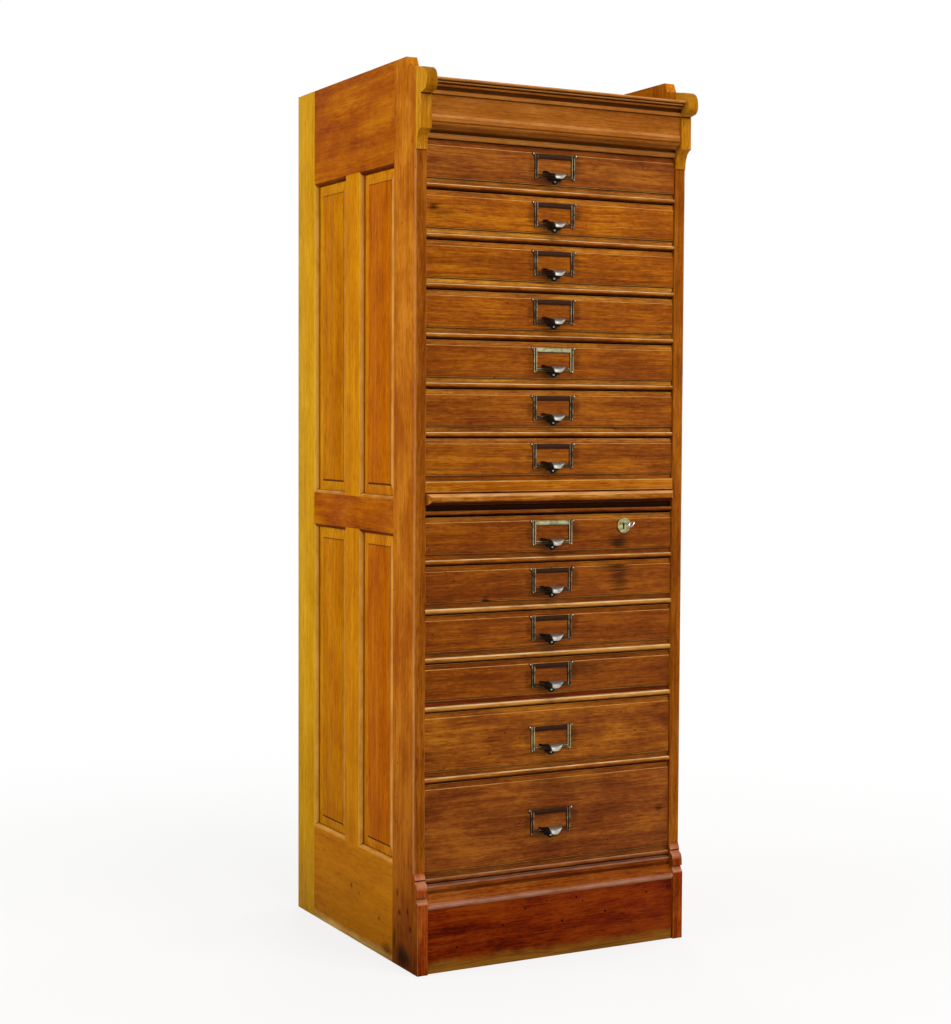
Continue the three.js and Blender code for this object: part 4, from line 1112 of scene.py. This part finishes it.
def hood_section(across, under):
    """A section of the hood: out from the plate, then down to its rim."""
    share = across / HOOD_HALF
    bell = math.sin(math.pi / 2 * (1 + math.cos(math.pi * share)) / 2) ** HOOD_BELL
    reach = HOOD_REACH * max(1 - share * share, 0) ** HOOD_ROUNDING
    drop = HOOD_DROP * bell - HOOD_RISE * (1 - bell)
    points = []
    for step in range(SECTION_STEPS + 1):
        bend = math.pi / 2 * step / SECTION_STEPS
        out = PLATE_FRONT - HOOD_LAP + (reach + HOOD_LAP) * math.sin(bend)
        level = HOOD_LEVEL - drop * (1 - math.cos(bend))
        if under:
            slope = Vector((reach * math.cos(bend) + LEAST_SLOPE, -drop * math.sin(bend)))
            inward = Vector((slope.y, -slope.x)).normalized() * HOOD_WALL
            out += inward.x
            level += inward.y
        points.append((across, -out, level))
    return points


def hood(shape):
    """The finger hood: a thin shell with its top, its underside and a rim between them."""
    rows = []
    for index in range(-HOOD_STEPS, HOOD_STEPS + 1):
        across = HOOD_HALF * math.sin(math.pi / 2 * index / HOOD_STEPS)
        rows.append(hood_section(across, False) + hood_section(across, True)[::-1])
    lofted(shape, rows, HOOD)


def arc(centre, radius, start, stop, steps):
    """Points round a circle, angles in degrees."""
    turns = [math.radians(start + (stop - start) * step / steps) for step in range(steps + 1)]
    return [(centre[0] + radius * math.cos(turn), centre[1] + radius * math.sin(turn)) for turn in turns]


def tab_outline():
    """The tab below the frame: an ogee down each side to a round end."""
    foot = -PULL_HEIGHT / 2
    left = arc((-TAB_HALF, foot - TAB_COVE), TAB_COVE, 80, 15, 6)
    end = arc((0, TAB_ROUND_LEVEL), TAB_ROUND, 200, 340, 12)
    right = arc((TAB_HALF, foot - TAB_COVE), TAB_COVE, 165, 100, 6)
    return [(-TAB_HALF, foot + TAB_LAP)] + left + end + right + [(TAB_HALF, foot + TAB_LAP)]


def held(share):
    """A share held between 0 and 1."""
    return min(1, max(0, share))


def pull_shape():
    """The whole pull: a cast frame with its ears, studs, tab and hood, and the bright pins and screw that
    hold it. The hood's top is pale from its left third on: rubbed bare by fingers, and a painted highlight.
    Its underside, its left end and the tab keep a near-black skin: painted shade beneath the hood, partly
    dark oxide. The ribs are rubbed bare on their crests."""
    shape = bmesh.new()
    holder_frame(shape)
    hood(shape)
    # The tab takes the hood's near-black finish: painted shadow of the hood, partly dark oxide
    plate(shape, tab_outline(), TAB_FRONT, HOOD)
    for side in (-1, 1):
        ear = [(side * across, up) for across, up in EAR][::side]
        plate(shape, ear, EAR_FRONT, BRONZE)
        for across, *rest in (EAR_PIN, FOOT_STUD):
            dome(shape, side * across, *rest)
    dome(shape, *TAB_SCREW)
    bmesh.ops.recalc_face_normals(shape, faces=shape.faces)
    wear = shape.loops.layers.float.new("wear")
    for face in shape.faces:
        for loop in face.loops:
            place = loop.vert.co
            if face.material_index != HOOD:
                loop[wear] = held((-place.y - RIB_BARE_FROM) / RIB_BARE_OVER)
            elif face.normal.z > HOOD_TOP:
                loop[wear] = held((place.x - HOOD_BARE_AND_LIT_FROM) / HOOD_BARE_AND_LIT_OVER)
    return shape


# One bronze, as it has worn: the frames are dark or rubbed, their plain top bars are darkest, and the
# hoods are bare where fingers reach. The hoods' near-black skin is painted shade, partly dark oxide, and
# their pale tops partly a painted highlight
dark_bronze = cast_bronze("dark_bronze", "#3a2412", "#988c70", "#180a04", 0.0)
rubbed_bronze = cast_bronze("rubbed_bronze", "#4c3820", "#aca27c", "#1a0e04", 0.12)
head_bronze = cast_bronze("head_bronze", "#2c1608", "#8a8068", "#100602", -0.35)
pale_head_bronze = cast_bronze("pale_head_bronze", "#544c34", "#8e8a6a", "#2a2010", 0.05)
hood_bronze = cast_bronze("hood_bronze", "#0c0704", "#918c82", "#040201", 0.15)
# Steel pins and screws, nickelled and now dull
pin_nickel = dulled_metal("pin_nickel", "#b9b5a9", "#7d786b", 0.35)
# The drawers whose pulls are rubbed more than the others, and those of them with a pale top bar
RUBBED_PULLS = (5, 8, 12)
PALE_HEADS = (5, 8)

for number in range(1, 14):
    name = f"pull_{number:02d}"
    pull = pull_shape()
    pull.transform(Matrix.Translation(pull_centre(number)) @ Matrix.Scale(MM, 4))
    metals = [rubbed_bronze if number in RUBBED_PULLS else dark_bronze, pin_nickel,
              pale_head_bronze if number in PALE_HEADS else head_bronze, hood_bronze]
    finished(f"{name}_cast", pull, metals, f"drawer_{number:02d}", (name,))

# Lock: a brass escutcheon and case, and a nickelled key and bolt, bright from use

lock_brass = dulled_metal("lock_brass", "#a9a57c", "#736f48", 0.48)
key_nickel = dulled_metal("key_nickel", "#e0ded8", "#b4b1a8", 0.3)
for name, metal in (("escutcheon", lock_brass), ("lock_case", lock_brass), ("lock_bolt", key_nickel),
                    ("key", key_nickel)):
    part = frame["nodes"][name]
    part.data.materials.clear()
    part.data.materials.append(metal)
    slot_of(name)

# Camera: its place, turns and lens were solved from the straight edges in the photo

LENS = 66.56
SENSOR = 36
CAMERA_PLACE = (-1.5738, -2.9031, 0.8913)
YAW, PITCH, ROLL = 28.03, 2.86, 0.276
camera_data = bpy.data.cameras.new("camera")
camera_data.lens = LENS
camera_data.sensor_width = SENSOR
camera = bpy.data.objects.new("camera", camera_data)
bpy.context.scene.collection.objects.link(camera)
camera.matrix_world = (
    Matrix.Translation(CAMERA_PLACE)
    @ Matrix.Rotation(math.radians(-YAW), 4, "Z")
    @ Matrix.Rotation(math.radians(90 - PITCH), 4, "X")
    @ Matrix.Rotation(math.radians(ROLL), 4, "Z")
)
bpy.context.scene.camera = camera

# Floor: pale matt paint, whose shade fades into the white backdrop away from the chest

HALF_FLOOR = 6.0
floor_mesh = bpy.data.meshes.new("floor")
corners = [(-HALF_FLOOR, -HALF_FLOOR, 0), (HALF_FLOOR, -HALF_FLOOR, 0),
           (HALF_FLOOR, HALF_FLOOR, 0), (-HALF_FLOOR, HALF_FLOOR, 0)]
floor_mesh.from_pydata(corners, [], [(0, 1, 2, 3)])
floor = bpy.data.objects.new("floor", floor_mesh)
bpy.context.scene.collection.objects.link(floor)

floor_paint, tree = new_material("pale_floor")
paint = node(tree, "ShaderNodeBsdfDiffuse", {"Color": linear("#d9d6d2")})
white = node(tree, "ShaderNodeEmission", {"Color": (1, 1, 1, 1), "Strength": 1.0})
spot = node(tree, "ShaderNodeTexCoord").outputs["Object"]
away = node(tree, "ShaderNodeVectorMath", {0: spot}, operation="LENGTH").outputs["Value"]
whiteness = node(tree, "ShaderNodeMapRange", {"Value": away, "From Min": 0.4, "From Max": 2.2,
                 "To Min": 0.8, "To Max": 1.0}, interpolation_type="SMOOTHSTEP").outputs["Result"]
path = node(tree, "ShaderNodeLightPath").outputs
share = node(tree, "ShaderNodeMath", {0: path["Is Camera Ray"], 1: whiteness}, operation="MULTIPLY")
mixed = node(tree, "ShaderNodeMixShader", {0: share.outputs[0], 1: paint.outputs[0], 2: white.outputs[0]})
node(tree, "ShaderNodeOutputMaterial", {"Surface": mixed.outputs[0]})
floor_mesh.materials.append(floor_paint)

# World: a dim even light, and plain white for rays that the eye, a gloss or glass sends out

AMBIENT = 0.3
world = bpy.data.worlds.new("studio")
bpy.context.scene.world = world
world.use_nodes = True
tree = world.node_tree
tree.nodes.clear()
path = node(tree, "ShaderNodeLightPath").outputs
seen = node(tree, "ShaderNodeMath", {0: path["Is Camera Ray"], 1: path["Is Glossy Ray"]},
            operation="MAXIMUM").outputs[0]
seen = node(tree, "ShaderNodeMath", {0: seen, 1: path["Is Transmission Ray"]},
            operation="MAXIMUM").outputs[0]
sky = tint(tree, seen, (AMBIENT, AMBIENT, AMBIENT, 1), (1, 1, 1, 1))
background = node(tree, "ShaderNodeBackground", {"Color": sky, "Strength": 1.0})
node(tree, "ShaderNodeOutputWorld", {"Surface": background.outputs[0]})

# Large square lamps: where each stands, the height on the chest that it faces, its size and its power

LAMPS = {
    "window_left": ((-3.4, 0.4, 1.7), 0.65, 2.0, 78),
    "ceiling_front": ((0.5, -2.2, 3.4), 0.9, 2.2, 92),
    "front_fill": ((1.8, -3.4, 0.9), 0.5, 2.0, 26),
    "window_right": ((3.4, 0.9, 1.7), 0.65, 1.8, 48),
    "back_fill": ((1.5, 3.3, 1.7), 0.65, 1.6, 60),
}

for name, (place, aim, size, power) in LAMPS.items():
    light = bpy.data.lights.new(name, "AREA")
    light.shape = "SQUARE"
    light.size = size
    light.energy = power
    lamp = bpy.data.objects.new(name, light)
    bpy.context.scene.collection.objects.link(lamp)
    lamp.location = place
    lamp.rotation_euler = (Vector((0, 0, aim)) - Vector(place)).to_track_quat("-Z", "Y").to_euler()

scene = bpy.context.scene
scene.view_settings.view_transform = "Standard"
